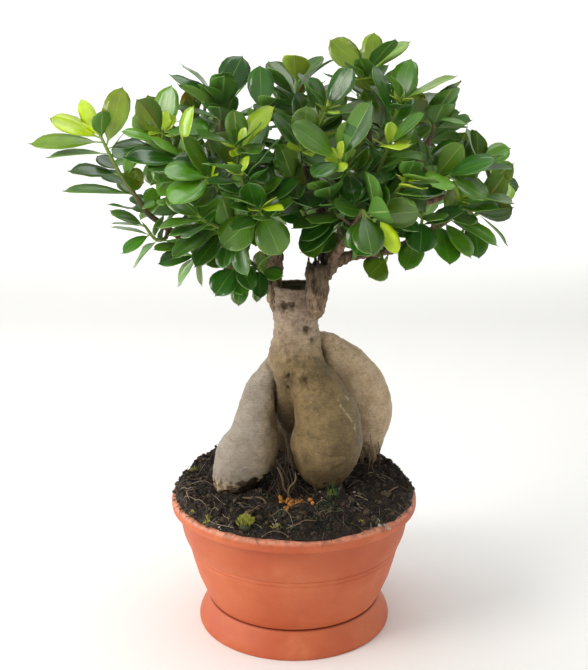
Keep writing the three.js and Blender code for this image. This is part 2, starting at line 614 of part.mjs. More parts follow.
add("saucer", makeSaucer(), clay);
add("bowl", makeBowl(), clay);
add("peat", makePeat(), peat);
add("rootstock", makeRootstock(), bark);
Object.entries(scions).forEach(([name, branches]) => {
  add(name, makeScion(branches), youngBark);
});

// Wood and the leaves placed by hand stand in the way of the others, so they come first
const taken = [obstacle(tube(rootstock.neck, ROOT_STEPS, ROOT_SIDES), "rootstock")];
Object.entries(scions).forEach(([name, branches]) => {
  Object.values(branches).forEach((rows) => {
    taken.push(obstacle(tube(rows, BRANCH_STEPS, BRANCH_SIDES), name));
  });
});
const grown = Object.entries(twigs).map(([name, twig]) => {
  const rows = twigRows(twig);
  const steps = twig.via ? LONG_TWIG_STEPS : TWIG_STEPS;
  const wood = tube(rows, steps, TWIG_SIDES);
  taken.push(obstacle(wood, `${name} wood`));
  return { ...twig, name, rows, steps, wood, grown: [] };
});
grown.forEach((twig) => placeMarked(twig, taken));
grown.forEach((twig, index) => {
  growLeaves(twig, FIRST_SEED + SEED_STEP * index, taken);
  const blades = twig.grown.map((leaf) => solid(blade(leaf, LEAF_THICK, 0, true)));
  add(`twig_${twig.name}`, blades.reduce((whole, one) => whole.add(one), solid(twig.wood)), leafGreen);
});

export default part;
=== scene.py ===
"""A potted ginseng ficus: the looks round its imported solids. Metres, +Z up, the front faces -Y."""
import math
import bmesh
import bpy
import numpy as np
from mathutils import Matrix, Vector, noise
from mathutils.bvhtree import BVHTree


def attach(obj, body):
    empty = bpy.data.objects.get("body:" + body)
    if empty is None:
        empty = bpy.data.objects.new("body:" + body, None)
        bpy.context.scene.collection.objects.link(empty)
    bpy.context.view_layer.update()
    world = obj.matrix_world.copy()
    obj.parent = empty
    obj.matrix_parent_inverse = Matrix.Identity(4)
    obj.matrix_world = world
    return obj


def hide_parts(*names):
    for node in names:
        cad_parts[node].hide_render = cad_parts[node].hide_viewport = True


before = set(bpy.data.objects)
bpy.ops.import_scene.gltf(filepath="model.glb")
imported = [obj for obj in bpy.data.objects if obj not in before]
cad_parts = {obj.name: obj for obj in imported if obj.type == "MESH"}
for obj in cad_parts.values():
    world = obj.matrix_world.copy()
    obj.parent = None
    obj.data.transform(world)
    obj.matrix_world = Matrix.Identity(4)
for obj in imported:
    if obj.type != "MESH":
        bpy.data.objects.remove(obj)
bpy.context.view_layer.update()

# Camera: 0.8 m in front, a little above the crown's underside, looking down
CAMERA_PLACE = (0, -0.8, 0.445)
CAMERA_DIP = math.radians(14.3)
LENS = 56

camera_data = bpy.data.cameras.new("camera")
camera_data.sensor_fit = "VERTICAL"
camera_data.sensor_height = 36
camera_data.lens = LENS
camera_data.clip_start = 0.01
camera = bpy.data.objects.new("camera", camera_data)
camera.location = CAMERA_PLACE
camera.rotation_euler = (math.pi / 2 - CAMERA_DIP, 0, 0)
bpy.context.collection.objects.link(camera)
bpy.context.scene.camera = camera
bpy.context.scene.view_settings.view_transform = "Standard"


def linear(colour):
    """An sRGB hex colour as linear red, green, blue and alpha."""
    parts = [int(colour[i:i + 2], 16) / 255 for i in (1, 3, 5)]
    return [c / 12.92 if c <= 0.04045 else ((c + 0.055) / 1.055) ** 2.4 for c in parts] + [1]


# Light: a bright room, one large soft window at the front left, a weaker one at the right, a soft sky
# above, a weak one low at the left, and four lamps turned away from the plant that light the backdrop alone.
# Each has its place, its aim, width, power and colour.
LIGHTS = {
    "window": ((-1.6, -0.9, 1.3), (0, 0, 0.25), 0.9, 27, "#fffaf4"),
    "fill": ((1.5, -0.9, 0.9), (0, 0, 0.25), 1.2, 1.5, "#f6f9ff"),
    "side": ((-1.5, 0.2, 0.5), (0, 0, 0.1), 0.8, 8, "#ffffff"),
    "sky": ((0.1, 0.2, 1.9), (0, 0, 0.25), 1.2, 12, "#ffffff"),
    "backdrop_back": ((0, 2.4, 2.4), (0, 5.6, 0.6), 2.5, 80, "#ffffff"),
    "backdrop_front": ((0, -2.4, 2.4), (0, -5.6, 0.6), 2.5, 72, "#ffffff"),
    "backdrop_left": ((-2.4, 0, 2.4), (-5.6, 0, 0.6), 2.5, 72, "#ffffff"),
    "backdrop_right": ((2.4, 0, 2.4), (5.6, 0, 0.6), 2.5, 72, "#ffffff"),
}
for light_name, (place, aim, width, power, colour) in LIGHTS.items():
    light_data = bpy.data.lights.new(light_name, "AREA")
    light_data.shape = "SQUARE"
    light_data.size = width
    light_data.energy = power
    light_data.color = linear(colour)[:3]
    light = bpy.data.objects.new(light_name, light_data)
    light.location = place
    light.rotation_euler = (Vector(aim) - Vector(place)).to_track_quat("-Z", "Y").to_euler()
    bpy.context.collection.objects.link(light)

ROOM_STRENGTH = 0.5
world = bpy.data.worlds.new("room")
world.use_nodes = True
room = world.node_tree.nodes["Background"]
room.inputs["Color"].default_value = linear("#ffffff")
room.inputs["Strength"].default_value = ROOM_STRENGTH
bpy.context.scene.world = world


def node(tree, kind, inputs=(), out=0, **settings):
    """Adds a node with its settings and links, and gives one of its outputs.

    An input is a value or an output. A Map Range turns inputs 1 to 2 into 3 to 4. A Mix goes by input 0
    from 6 to 7 where it mixes colours, and from 4 to 5 where it mixes places.
    """
    new = tree.nodes.new("ShaderNode" + kind)
    for key, value in settings.items():
        setattr(new, key, value)
    for key, value in dict(inputs).items():
        if isinstance(value, bpy.types.NodeSocket):
            tree.links.new(value, new.inputs[key])
        else:
            new.inputs[key].default_value = value
    return new.outputs[out]


def finish(name, **shader):
    """A new material with its shader's plain numbers set, and its node tree."""
    material = bpy.data.materials.new(name)
    material.use_nodes = True
    for key, value in shader.items():
        material.node_tree.nodes["Principled BSDF"].inputs[key.replace("_", " ")].default_value = value
    return material, material.node_tree


def dress(tree, **links):
    """Links outputs to the shader's inputs."""
    shader = tree.nodes["Principled BSDF"]
    for key, value in links.items():
        tree.links.new(value, shader.inputs[key.replace("_", " ")])


def toned(name, low, high, by="tone", **shader):
    """A material whose colour goes from low to high by an attribute painted on the mesh."""
    material, tree = finish(name, **shader)
    share = node(tree, "Attribute", out="Fac", attribute_name=by)
    body = node(tree, "Mix", {0: share, 6: linear(low), 7: linear(high)}, 2, data_type="RGBA")
    dress(tree, Base_Color=body)
    return material


def per_metre(size_mm):
    """The scale of a pattern whose patches are this many millimetres wide."""
    return 1000 / size_mm


def wave_scale(size_mm):
    """The scale of a wave texture, which turns 20 radians in a unit, for one radian in these millimetres."""
    return per_metre(size_mm) / 20


# Heights on the clay, in metres: the joint, the collar, and what lies along the rim, the painted highlight on
# its lip among them
JOINT = 0.0214
COLLAR_FOOT, COLLAR_TOP = 0.068, 0.094
UNDER_RIM, RIM_FOOT = 0.0985, 0.1005
PEATY_FROM, PEATY_TO = 0.1035, 0.1095
LIT_LIP_FROM, LIT_LIP_TO = 0.1062, 0.1088

# Unglazed terracotta, turned and fired: matt and chalky, with a fine grain, faint turning lines and mineral
# bloom. The joint with the saucer has a painted shadow, the collar painted shade under the rim, and the
# rim's lip a painted highlight. The rim is smeared with peat.
terracotta, tree = finish("unglazed terracotta", Roughness=0.55, Specular_IOR_Level=0.5)
place = node(tree, "TexCoord", out="Object")
height = node(tree, "SeparateXYZ", {"Vector": place}, 2)
cloud = node(tree, "TexNoise", {"Vector": place, "Scale": per_metre(45), "Detail": 3})
cloudy = node(tree, "MapRange", {0: cloud, 1: 0.35, 2: 0.68})
body = node(tree, "Mix", {0: cloudy, 6: linear("#b6522a"), 7: linear("#c5673b")}, 2, data_type="RGBA")
grit = node(tree, "TexNoise", {"Vector": place, "Scale": per_metre(1.6), "Detail": 2})
gritty = node(tree, "MapRange", {0: grit, 1: 0.3, 2: 0.75, 4: 0.22})
bloom = node(tree, "TexNoise", {"Vector": place, "Scale": per_metre(22), "Detail": 6, "Roughness": 0.7})
bloomy = node(tree, "MapRange", {0: bloom, 1: 0.56, 2: 0.8, 4: 0.12})
speck = node(tree, "TexVoronoi", {"Vector": place, "Scale": per_metre(11)})
specked = node(tree, "MapRange", {0: speck, 1: 0.05, 2: 0.025, 4: 0.5})
# Painted shade on the collar band just under the rim, where the rim's overhang shades it
under_rim_shade = node(tree, "MapRange", {0: height, 1: COLLAR_FOOT, 2: COLLAR_TOP, 4: 0.3})
below_rim = node(tree, "MapRange", {0: height, 1: RIM_FOOT, 2: UNDER_RIM})
under_rim_shade = node(tree, "Math", {0: under_rim_shade, 1: below_rim}, operation="MULTIPLY")
# A painted shadow along the joint with the saucer, where the gap between them lies in shade
off_joint = node(tree, "Math", {0: height, 1: JOINT}, operation="SUBTRACT")
off_joint = node(tree, "Math", {0: off_joint}, operation="ABSOLUTE")
joint_shadow = node(tree, "MapRange", {0: off_joint, 1: 0.0013, 2: 0.0005, 4: 0.75})
# A painted highlight along the top of the rim's lip, where the light catches its rounded edge
lit_lip = node(tree, "MapRange", {0: height, 1: LIT_LIP_FROM, 2: LIT_LIP_TO, 4: 0.4})
near_peat = node(tree, "MapRange", {0: height, 1: PEATY_FROM, 2: PEATY_TO})
smear = node(tree, "TexNoise", {"Vector": place, "Scale": per_metre(5), "Detail": 5})
smeary = node(tree, "MapRange", {0: smear, 1: 0.44, 2: 0.6, 4: 0.5})
dirt = node(tree, "Math", {0: near_peat, 1: smeary}, operation="MULTIPLY")
for share, colour in ((gritty, "#a04a26"), (bloomy, "#e0a382"), (specked, "#7c3e24"), (under_rim_shade, "#96401f"),
                      (joint_shadow, "#742a12"), (lit_lip, "#f0b497"), (dirt, "#4a2a1b")):
    body = node(tree, "Mix", {0: share, 6: body, 7: linear(colour)}, 2, data_type="RGBA")
turning = node(tree, "TexWave", {
    "Vector": place, "Scale": wave_scale(2.2), "Distortion": 1.5, "Detail": 2, "Detail Scale": 0.4},
    1, bands_direction="Z")
relief = node(tree, "Math", {0: turning, 1: 0.35, 2: grit}, operation="MULTIPLY_ADD")
bump = node(tree, "Bump", {"Height": relief, "Strength": 0.3, "Distance": 0.0003})
dress(tree, Base_Color=body, Normal=bump)

# Moist peat: nearly black brown crumbs with paler dry ones, a faint wet shine
moist_peat, tree = finish("moist peat", Roughness=0.8, Specular_IOR_Level=0.4)
place = node(tree, "TexCoord", out="Object")
crumb = node(tree, "TexNoise", {"Vector": place, "Scale": per_metre(7), "Detail": 6, "Roughness": 0.7})
crumby = node(tree, "MapRange", {0: crumb, 1: 0.42, 2: 0.72})
body = node(tree, "Mix", {0: crumby, 6: linear("#100c09"), 7: linear("#38281a")}, 2, data_type="RGBA")
grain = node(tree, "TexVoronoi", {"Vector": place, "Scale": per_metre(1.9)})
bump = node(tree, "Bump", {"Height": grain, "Strength": 0.9, "Distance": 0.0016})
dress(tree, Base_Color=body, Normal=bump)

# Loose crumbs and fibres take their tone from the "tone" attribute: 0 is wet and dark, 1 dry and pale
loose_peat = toned("loose peat crumbs", "#130e0a", "#7d6850", Roughness=0.8, Specular_IOR_Level=0.35)
coir = toned("coir fibre", "#241a12", "#a89a80", Roughness=0.65, Specular_IOR_Level=0.35)

# Living fig bark, thin and smooth: grey on the neck, tan and olive on the swollen roots, with fine pores.
# Attributes painted on the mesh say where it is olive, pale, rough, marked pale by scratches and painted
# glints, darkened by soil, stains and painted shade, or cut by the saw.
bark, tree = finish("smooth fig bark", Roughness=0.55, Specular_IOR_Level=0.4)
place = node(tree, "TexCoord", out="Object")
olive, pale, rough, soil_stain_and_shade, scratch_and_glint_marks, sawn = (
    node(tree, "Attribute", out="Fac", attribute_name=name)
    for name in ("olive", "pale", "rough", "soil_stain_and_shade", "scar_and_glint", "sawn"))
cloud = node(tree, "TexNoise", {"Vector": place, "Scale": per_metre(14), "Detail": 8, "Roughness": 0.74})
cloudy = node(tree, "MapRange", {0: cloud, 1: 0.28, 2: 0.72})
tan, green, grey, neck_brown = (
    node(tree, "Mix", {0: cloudy, 6: linear(low), 7: linear(high)}, 2, data_type="RGBA") for low, high in (
        ("#a48763", "#e3c9a4"), ("#584726", "#9a8153"), ("#857868", "#ada293"), ("#735b49", "#d9c0a5")))
pore = node(tree, "TexNoise", {"Vector": place, "Scale": per_metre(1.9), "Detail": 3, "Roughness": 0.7})
porous = node(tree, "MapRange", {0: pore, 1: 0.54, 2: 0.7, 4: 0.45})
smooth = node(tree, "MapRange", {0: pale, 3: 1.0, 4: 0.2})
porous = node(tree, "Math", {0: porous, 1: smooth}, operation="MULTIPLY")
# Fine cracks in the older skin, bent to wander
CRACK_WANDER = 0.0045
wander = node(tree, "TexNoise", {"Vector": place, "Scale": per_metre(3), "Detail": 3}, 1)
bent = node(tree, "Mix", {0: CRACK_WANDER, 4: place, 5: wander}, 1, data_type="VECTOR")
cell = node(tree, "TexVoronoi", {"Vector": bent, "Scale": per_metre(4.6)}, feature="DISTANCE_TO_EDGE")
split = node(tree, "MapRange", {0: cell, 1: 0.09, 2: 0.0, 4: 0.46})
patchy = node(tree, "MapRange", {0: cloud, 1: 0.56, 2: 0.46, 3: 0.3})
scaly = node(tree, "MapRange", {0: rough, 4: 0.5})
aged = node(tree, "Math", {0: olive, 1: scaly}, operation="MAXIMUM")
for share in (patchy, aged):
    split = node(tree, "Math", {0: split, 1: share}, operation="MULTIPLY")
# Growth wrinkles, which run across the roots: flattened patches 1.4 mm high
flat_map = node(tree, "Mapping", {"Vector": place, "Scale": (1, 1, 5)})
wrinkle = node(tree, "TexNoise", {
    "Vector": flat_map, "Scale": per_metre(7), "Detail": 5, "Roughness": 0.7, "Distortion": 0.6})
wrinkled = node(tree, "MapRange", {0: wrinkle, 1: 0.5, 2: 0.64, 4: 0.3})
# Growth rings round the middle of the cut, which is brought to the pattern's own middle
TO_CUT_MIDDLE = (-0.0031, -0.008, 0)
ring_map = node(tree, "Mapping", {"Vector": place, "Location": TO_CUT_MIDDLE})
year_ring = node(tree, "TexWave", {
    "Vector": ring_map, "Scale": wave_scale(2.6), "Distortion": 2.5, "Detail": 3, "Detail Scale": 1.2},
    1, wave_type="RINGS", rings_direction="Z")
wood = node(tree, "Mix", {0: year_ring, 6: linear("#2a2417"), 7: linear("#4e442c")}, 2, data_type="RGBA")
body = tan
# Coats over the tan, among them pale scratches with painted glints, and last the dark of soil, stains and
# painted shade
for share, over in ((olive, green), (pale, grey), (rough, neck_brown), (porous, linear("#4f3f2b")),
                    (split, linear("#453722")), (wrinkled, linear("#7a644a")), (scratch_and_glint_marks, linear("#c9b98f")),
                    (sawn, wood), (soil_stain_and_shade, linear("#2c2016"))):
    body = node(tree, "Mix", {0: share, 6: body, 7: over}, 2, data_type="RGBA")
grain = node(tree, "TexNoise", {"Vector": place, "Scale": per_metre(3), "Detail": 7, "Roughness": 0.72})
relief = node(tree, "Math", {0: wrinkle, 1: 1.6, 2: grain}, operation="MULTIPLY_ADD")
relief = node(tree, "Math", {0: split, 1: -0.9, 2: relief}, operation="MULTIPLY_ADD")
bump = node(tree, "Bump", {"Height": relief, "Strength": 0.85, "Distance": 0.0014})
matt = node(tree, "Math", {0: sawn, 1: soil_stain_and_shade}, operation="MAXIMUM")
shine = node(tree, "MapRange", {0: matt, 3: 0.45, 4: 0.04})
sheen = node(tree, "MapRange", {0: olive, 3: 0.5, 4: 0.38})
dullness = node(tree, "MapRange", {0: matt, 3: sheen, 4: 0.95})
dress(tree, Base_Color=body, Normal=bump, Roughness=dullness, Specular_IOR_Level=shine)

# Bark of the grafted scions: dark, dry and scaly, redder on the young branches, paler at the graft
scion_bark, tree = finish("scaly scion bark", Roughness=0.85, Specular_IOR_Level=0.25)
place = node(tree, "TexCoord", out="Object")
streak_map = node(tree, "Mapping", {"Vector": place, "Scale": (1, 1, 0.35)})
cloud = node(tree, "TexNoise", {"Vector": streak_map, "Scale": per_metre(3.4), "Detail": 6, "Roughness": 0.7})
cloudy = node(tree, "MapRange", {0: cloud, 1: 0.36, 2: 0.68})
old_bark, young_bark, grafted_bark = (
    node(tree, "Mix", {0: cloudy, 6: linear(low), 7: linear(high)}, 2, data_type="RGBA")
    for low, high in (("#32261d", "#8f7a62"), ("#523a2f", "#9a7a68"), ("#5a4635", "#b59b80")))
slim, graft, torn = (
    node(tree, "Attribute", out="Fac", attribute_name=name) for name in ("slim", "graft", "torn"))
crack = node(tree, "TexVoronoi", {"Vector": streak_map, "Scale": per_metre(2.6)}, feature="DISTANCE_TO_EDGE")
cracked = node(tree, "MapRange", {0: crack, 1: 0.07, 2: 0.0, 4: 0.4})
body = old_bark
for share, over in ((slim, young_bark), (graft, grafted_bark), (torn, linear("#1c1510")),
                    (cracked, linear("#241a13"))):
    body = node(tree, "Mix", {0: share, 6: body, 7: over}, 2, data_type="RGBA")
relief = node(tree, "Math", {0: cracked, 1: -0.5, 2: cloud}, operation="MULTIPLY_ADD")
bump = node(tree, "Bump", {"Height": relief, "Strength": 0.9, "Distance": 0.0012})
dress(tree, Base_Color=body, Normal=bump)

# Fine feeding roots: thin, matt, pale tan to brown by their tone
rootlet_skin = toned("feeding root skin", "#241910", "#a58b6c", Roughness=0.75, Specular_IOR_Level=0.3)

# Soft green wood of the leafy twigs, browner towards its foot, with lime buds
twig_skin = toned("green twig skin", "#79933a", "#5f4b3a", by="age", Roughness=0.5, Specular_IOR_Level=0.4)


def off_midrib(tree, blade_map):
    """How far a spot of a leaf lies from its midrib: 0 on it, 0.5 at the edge."""
    blade_y = node(tree, "SeparateXYZ", {"Vector": blade_map}, 1)
    off_middle = node(tree, "Math", {0: blade_y, 1: 0.5}, operation="SUBTRACT")
    return node(tree, "Math", {0: off_middle}, operation="ABSOLUTE")


# Waxy fig leaf, upper side: deep green and glossy, with a thin pale midrib, faint side veins and a fine pale
# edge. The map runs from the stalk to the tip in x and from edge to edge in y.
SIDE_VEINS = 14
VEIN_SWEEP = 0.45
leaf_top, tree = finish("waxy fig leaf", Roughness=0.3, Specular_IOR_Level=0.5, Coat_Weight=0.3,
                        Coat_Roughness=0.16, Subsurface_Weight=0.1, Subsurface_Scale=0.001)
blade_map = node(tree, "UVMap", uv_map="blade")
blade_x = node(tree, "SeparateXYZ", {"Vector": blade_map}, 0)
off_middle = off_midrib(tree, blade_map)
young, tone = (node(tree, "Attribute", out="Fac", attribute_name=name) for name in ("young", "tone"))
deep = node(tree, "MapRange", {0: tone, 2: 0.6})
bright = node(tree, "MapRange", {0: tone, 1: 0.6})
place = node(tree, "TexCoord", out="Object")
mottle = node(tree, "TexNoise", {"Vector": place, "Scale": per_metre(9), "Detail": 3})
mottled = node(tree, "MapRange", {0: mottle, 1: 0.4, 2: 0.75, 4: 0.35})
side_vein = node(tree, "Math", {0: off_middle, 1: -VEIN_SWEEP, 2: blade_x}, operation="MULTIPLY_ADD")
for operation, number in (("MULTIPLY", SIDE_VEINS), ("FRACT", 0), ("SUBTRACT", 0.5), ("ABSOLUTE", 0)):
    side_vein = node(tree, "Math", {0: side_vein, 1: number}, operation=operation)
veins = node(tree, "MapRange", {0: side_vein, 1: 0.1, 2: 0.0, 4: 0.1})
midrib = node(tree, "MapRange", {0: off_middle, 1: 0.022, 2: 0.006, 4: 0.38})
edge = node(tree, "MapRange", {0: off_middle, 1: 0.465, 2: 0.5, 4: 0.4})
stalk = node(tree, "MapRange", {0: blade_x, 1: 0.2, 2: 0.1})
for line in (midrib, edge, stalk):
    veins = node(tree, "Math", {0: veins, 1: line}, operation="MAXIMUM")
body = linear("#17460c")
for share, colour in ((deep, "#306e12"), (bright, "#67a41c"), (young, "#b9d714"), (mottled, "#133f0b"),
                      (veins, "#8cb14a")):
    body = node(tree, "Mix", {0: share, 6: body, 7: linear(colour)}, 2, data_type="RGBA")
bump = node(tree, "Bump", {"Height": veins, "Strength": 0.5, "Distance": 0.0004}, invert=True)
dress(tree, Base_Color=body, Normal=bump)

# The same leaf's underside: paler and duller, with the midrib standing out
leaf_back, tree = finish("leaf underside", Roughness=0.5, Specular_IOR_Level=0.4, Subsurface_Weight=0.1,
                         Subsurface_Scale=0.001)
off_middle = off_midrib(tree, node(tree, "UVMap", uv_map="blade"))
young = node(tree, "Attribute", out="Fac", attribute_name="young")
midrib = node(tree, "MapRange", {0: off_middle, 1: 0.05, 2: 0.01, 4: 0.6})
body = linear("#4a7a2c")
for share, colour in ((young, "#bccf3c"), (midrib, "#a3bd6c")):
    body = node(tree, "Mix", {0: share, 6: body, 7: linear(colour)}, 2, data_type="RGBA")
bump = node(tree, "Bump", {"Height": midrib, "Strength": 0.6, "Distance": 0.0006})
dress(tree, Base_Color=body, Normal=bump)

# Cushion moss: bright yellow green tips over a dark heart, by tone
moss_green = toned("cushion moss", "#33391a", "#c2c14a", Roughness=0.8)

# Strands of liverwort and grass on the peat: dark teal to fresh green by tone
strand_green = toned(
    "young grass and liverwort", "#10261e", "#5f7d4b", Roughness=0.45, Specular_IOR_Level=0.4)

# Pale chips of dry bark and perlite
pale_chip = toned("dry pale chips", "#6d6459", "#c9c2b6", Roughness=0.7, Specular_IOR_Level=0.4)

# Plant food granules: smooth orange resin shells, browner where they are spent
granule_resin = toned("resin coated granule", "#6b4216", "#c07c2c", Roughness=0.35)

# Floor: pale matt studio paper
paper, tree = finish("pale studio paper", Base_Color=linear("#f7f7f5"), Roughness=0.9)


# Sizes in millimetres, the same as those of the solids: the clay and the peat
RIM_RADIUS = 100
BOWL_TOP = 110
SAUCER_RADIUS = 79.3
SAUCER_HEIGHT = 21.2
FOOT_RADIUS = 70.5
CLAY_WALL = 5.5
DRAIN_RADIUS = 8
SEAT_GAP = 0.3
BOWL_FOOT = SAUCER_HEIGHT + SEAT_GAP
BOWL_FLOOR = BOWL_FOOT + CLAY_WALL
MOUND_LEAN = 0.05

# How finely the solids' wood is cut, along and round
ROOT_STEPS = 10
ROOT_SIDES = 11
BRANCH_STEPS = 4
BRANCH_SIDES = 5
TWIG_STEPS = 3
LONG_TWIG_STEPS = 7
TWIG_SIDES = 3

# A twig leaves its branch squarely, then sags a little on the way to its tip
TWIG_FOOT_RADIUS = 1.8
TWIG_TIP_RADIUS = 1.1
FOOT_REACH = 7
TWIG_SAG = 5

# A solid leaf's blade: where its foot, belly and shoulder lie as shares of its length, and its arch
LEAF_THICK = 0.8
FOOT_SHARE = 0.22
BELLY_SHARE = 0.5
SHOULDER_SHARE = 0.82
SHOULDER_WIDTH = 0.38
ARCH = 0.12

# The rule that grows leaves round a twig: their size, their place along it, and the angles at which they
# open, lift, face up and tilt. Each try shrinks a leaf that found no room.
LEAF_ROOM = 1.5
LEAF_LENGTH = 39
LEAF_WIDTH_SHARE = 0.58
SHORTEST = 0.84
LENGTH_SPREAD = 0.3
NARROWEST = 0.9
WIDTH_SPREAD = 0.2
FIRST_LEAF_SHARE = 0.34
LAST_LEAF_SHARE = 0.98
GOLDEN_ANGLE = 2.39996
OPEN_LOW = 1.222
OPEN_DROP = 0.7
OPEN_SPREAD = 0.3
LIFT = 0.12
FACE_UP = 0.7
TILT_SPREAD = 0.5
TRIES = 12
SHRINK = 0.03
FIRST_SEED = 4211
SEED_STEP = 97

# Rows of x, y, z, half width and half depth along each part of the rootstock, from its top to its tip
ROOTSTOCK = {
    "neck": [
        [3.1, 8, 280, 21.5, 20], [2.6, 8, 268, 20.6, 19], [1.3, 8, 252, 17.4, 17],
        [1.5, 8, 240, 18.9, 18.5], [1.4, 7, 226, 21.2, 21], [2, 6, 210, 24, 23], [0.5, 7, 194, 22.6, 21],
        [0, 9, 177, 17, 17], [2, 12, 160, 12, 12], [4, 14, 130, 8, 8], [4, 14, 99, 3, 3],
    ],
    "front": [
        [5, 4, 228, 13, 10], [10, -2, 213, 17, 16], [17.5, -9, 199, 21, 19], [23, -14, 187, 24, 22],
        [26.3, -17, 175, 26.3, 23], [26.2, -19, 162, 28.4, 25], [25, -18, 149, 27.2, 24],
        [23.4, -16, 136, 22, 20], [22, -13, 123.5, 14, 14], [21, -11, 111, 7, 7], [20, -10, 99, 3, 3],
    ],
    "left": [
        [-2, 7, 224, 10, 10], [-12, 6, 212, 13, 12], [-21.5, 2, 200, 14, 13], [-28, -4, 187, 15, 14],
        [-30.5, -10, 174, 17, 15.5], [-32, -14, 162, 20.6, 18], [-36, -17, 151, 23.4, 20],
        [-42.4, -19, 140, 22.6, 18.5], [-49.5, -20, 127, 17, 15], [-55, -19, 112, 8.5, 8],
        [-56, -18, 99, 3, 3],
    ],
    "right": [
        [4, 12, 234, 11, 10], [20, 19, 227, 12.5, 12], [34, 28, 215, 17, 17], [45.5, 36, 199, 22.6, 22],
        [53.5, 42, 180, 27.3, 26], [57.5, 46, 161, 27.2, 26], [60, 47, 144, 22.6, 21.5],
        [63, 48, 131, 14.5, 14], [65, 48, 120, 8.4, 8.4], [64, 47, 109, 5, 5], [62, 46, 99, 3, 3],
    ],
    "back": [
        [3, 12, 228, 10, 10], [4, 22, 214, 14, 14], [3, 34, 196, 18, 17], [1, 43, 178, 20, 19.5],
        [-2, 49, 161, 19.5, 19], [-5, 53, 146, 16, 15.5], [-8, 55, 133, 12, 11.5], [-9, 56, 123, 9, 8.5],
        [-10, 56, 114, 7, 7], [-10, 56, 106, 5, 5], [-10, 56, 99, 3, 3],
    ],
}

# Rows of x, y, z and radius along each branch of the scions, from its foot to its end
SCIONS = {
    "scion_left": {
        "foot": [
            [-13, 5, 260, 4], [-15, 4, 270, 6], [-16, 4, 286, 6.6], [-15, 5, 300, 6.4], [-15, 6, 314, 5.6],
        ],
        "long": [
            [-17, 3, 282, 4.6], [-27, -2, 287, 4.2], [-45, -12, 296, 3.6], [-62, -20, 309, 3.2],
            [-82, -30, 322, 2.7], [-100, -38, 337, 2.3],
        ],
        "high": [
            [-15, 5, 305, 4.6], [-27, 6, 330, 4], [-43, 5, 358, 3.2], [-54, 2, 385, 2.3], [-55, 0, 398, 2],
        ],
        "side": [[-20, 8, 315, 4], [-48, 16, 336, 3.2], [-78, 22, 358, 2.4], [-98, 22, 378, 1.9]],
        "back": [[-15, 6, 308, 4.4], [-24, 36, 334, 3.6], [-42, 58, 354, 2.8], [-64, 74, 364, 2]],
        "front": [[-15, 3, 300, 4], [-19, -22, 318, 3.2], [-24, -52, 334, 2.4], [-24, -74, 344, 1.9]],
    },
    "scion_right": {
        "foot": [
            [17, -9, 257, 3], [17.5, -11, 264, 6.4], [17.5, -10, 274, 8.8], [18, -9, 287, 8.8],
            [18.5, -8, 300, 7.4],
        ],
        "long": [
            [19, -8, 284, 6.1], [24, -7, 291, 5.5], [34, -8, 302, 4.8], [50, -11, 308, 4.2],
            [77, -16, 313, 3.5], [104, -20, 328, 2.8], [124, -14, 340, 2],
        ],
        "high": [[22, -5, 288, 4.8], [31, 0, 313, 4], [46, 5, 336, 3.2], [56, 8, 372, 2.5], [58, 8, 412, 2]],
        "middle": [[25, -3, 296, 4], [22, 8, 330, 3.2], [10, 14, 368, 2.6], [4, 16, 402, 2]],
        "front": [[28, -7, 300, 3.8], [36, -32, 318, 3], [42, -62, 336, 2.4], [46, -84, 348, 1.9]],
        "side": [[46, 5, 332, 3], [76, 6, 356, 2.6], [98, 6, 382, 2.2], [104, 5, 396, 1.9]],
        "far": [[40, 2, 320, 3.4], [78, 26, 332, 2.8], [116, 40, 344, 2.3], [142, 44, 352, 1.9]],
        "back": [[24, 2, 300, 4], [26, 42, 330, 3.2], [22, 66, 352, 2.6], [14, 74, 360, 2]],
        "corner": [[30, 34, 326, 2.8], [60, 54, 344, 2.4], [84, 70, 356, 1.9]],
    },
}


def on_branch(scion, branch, share, tip, leaves, size=1, marked=(), via=()):
    """A twig: the scion, branch and share of its length that carry it, and its tip. Then its leaves.

    That is how many the rule grows and how large they are, and those listed one by one: share of the twig,
    tip, width and the way the face looks. The twig may pass points on its way.
    """
    return {"on": ("scion_" + scion, branch, share), "tip": tip, "leaves": leaves, "size": size,
            "marked": marked, "via": via}


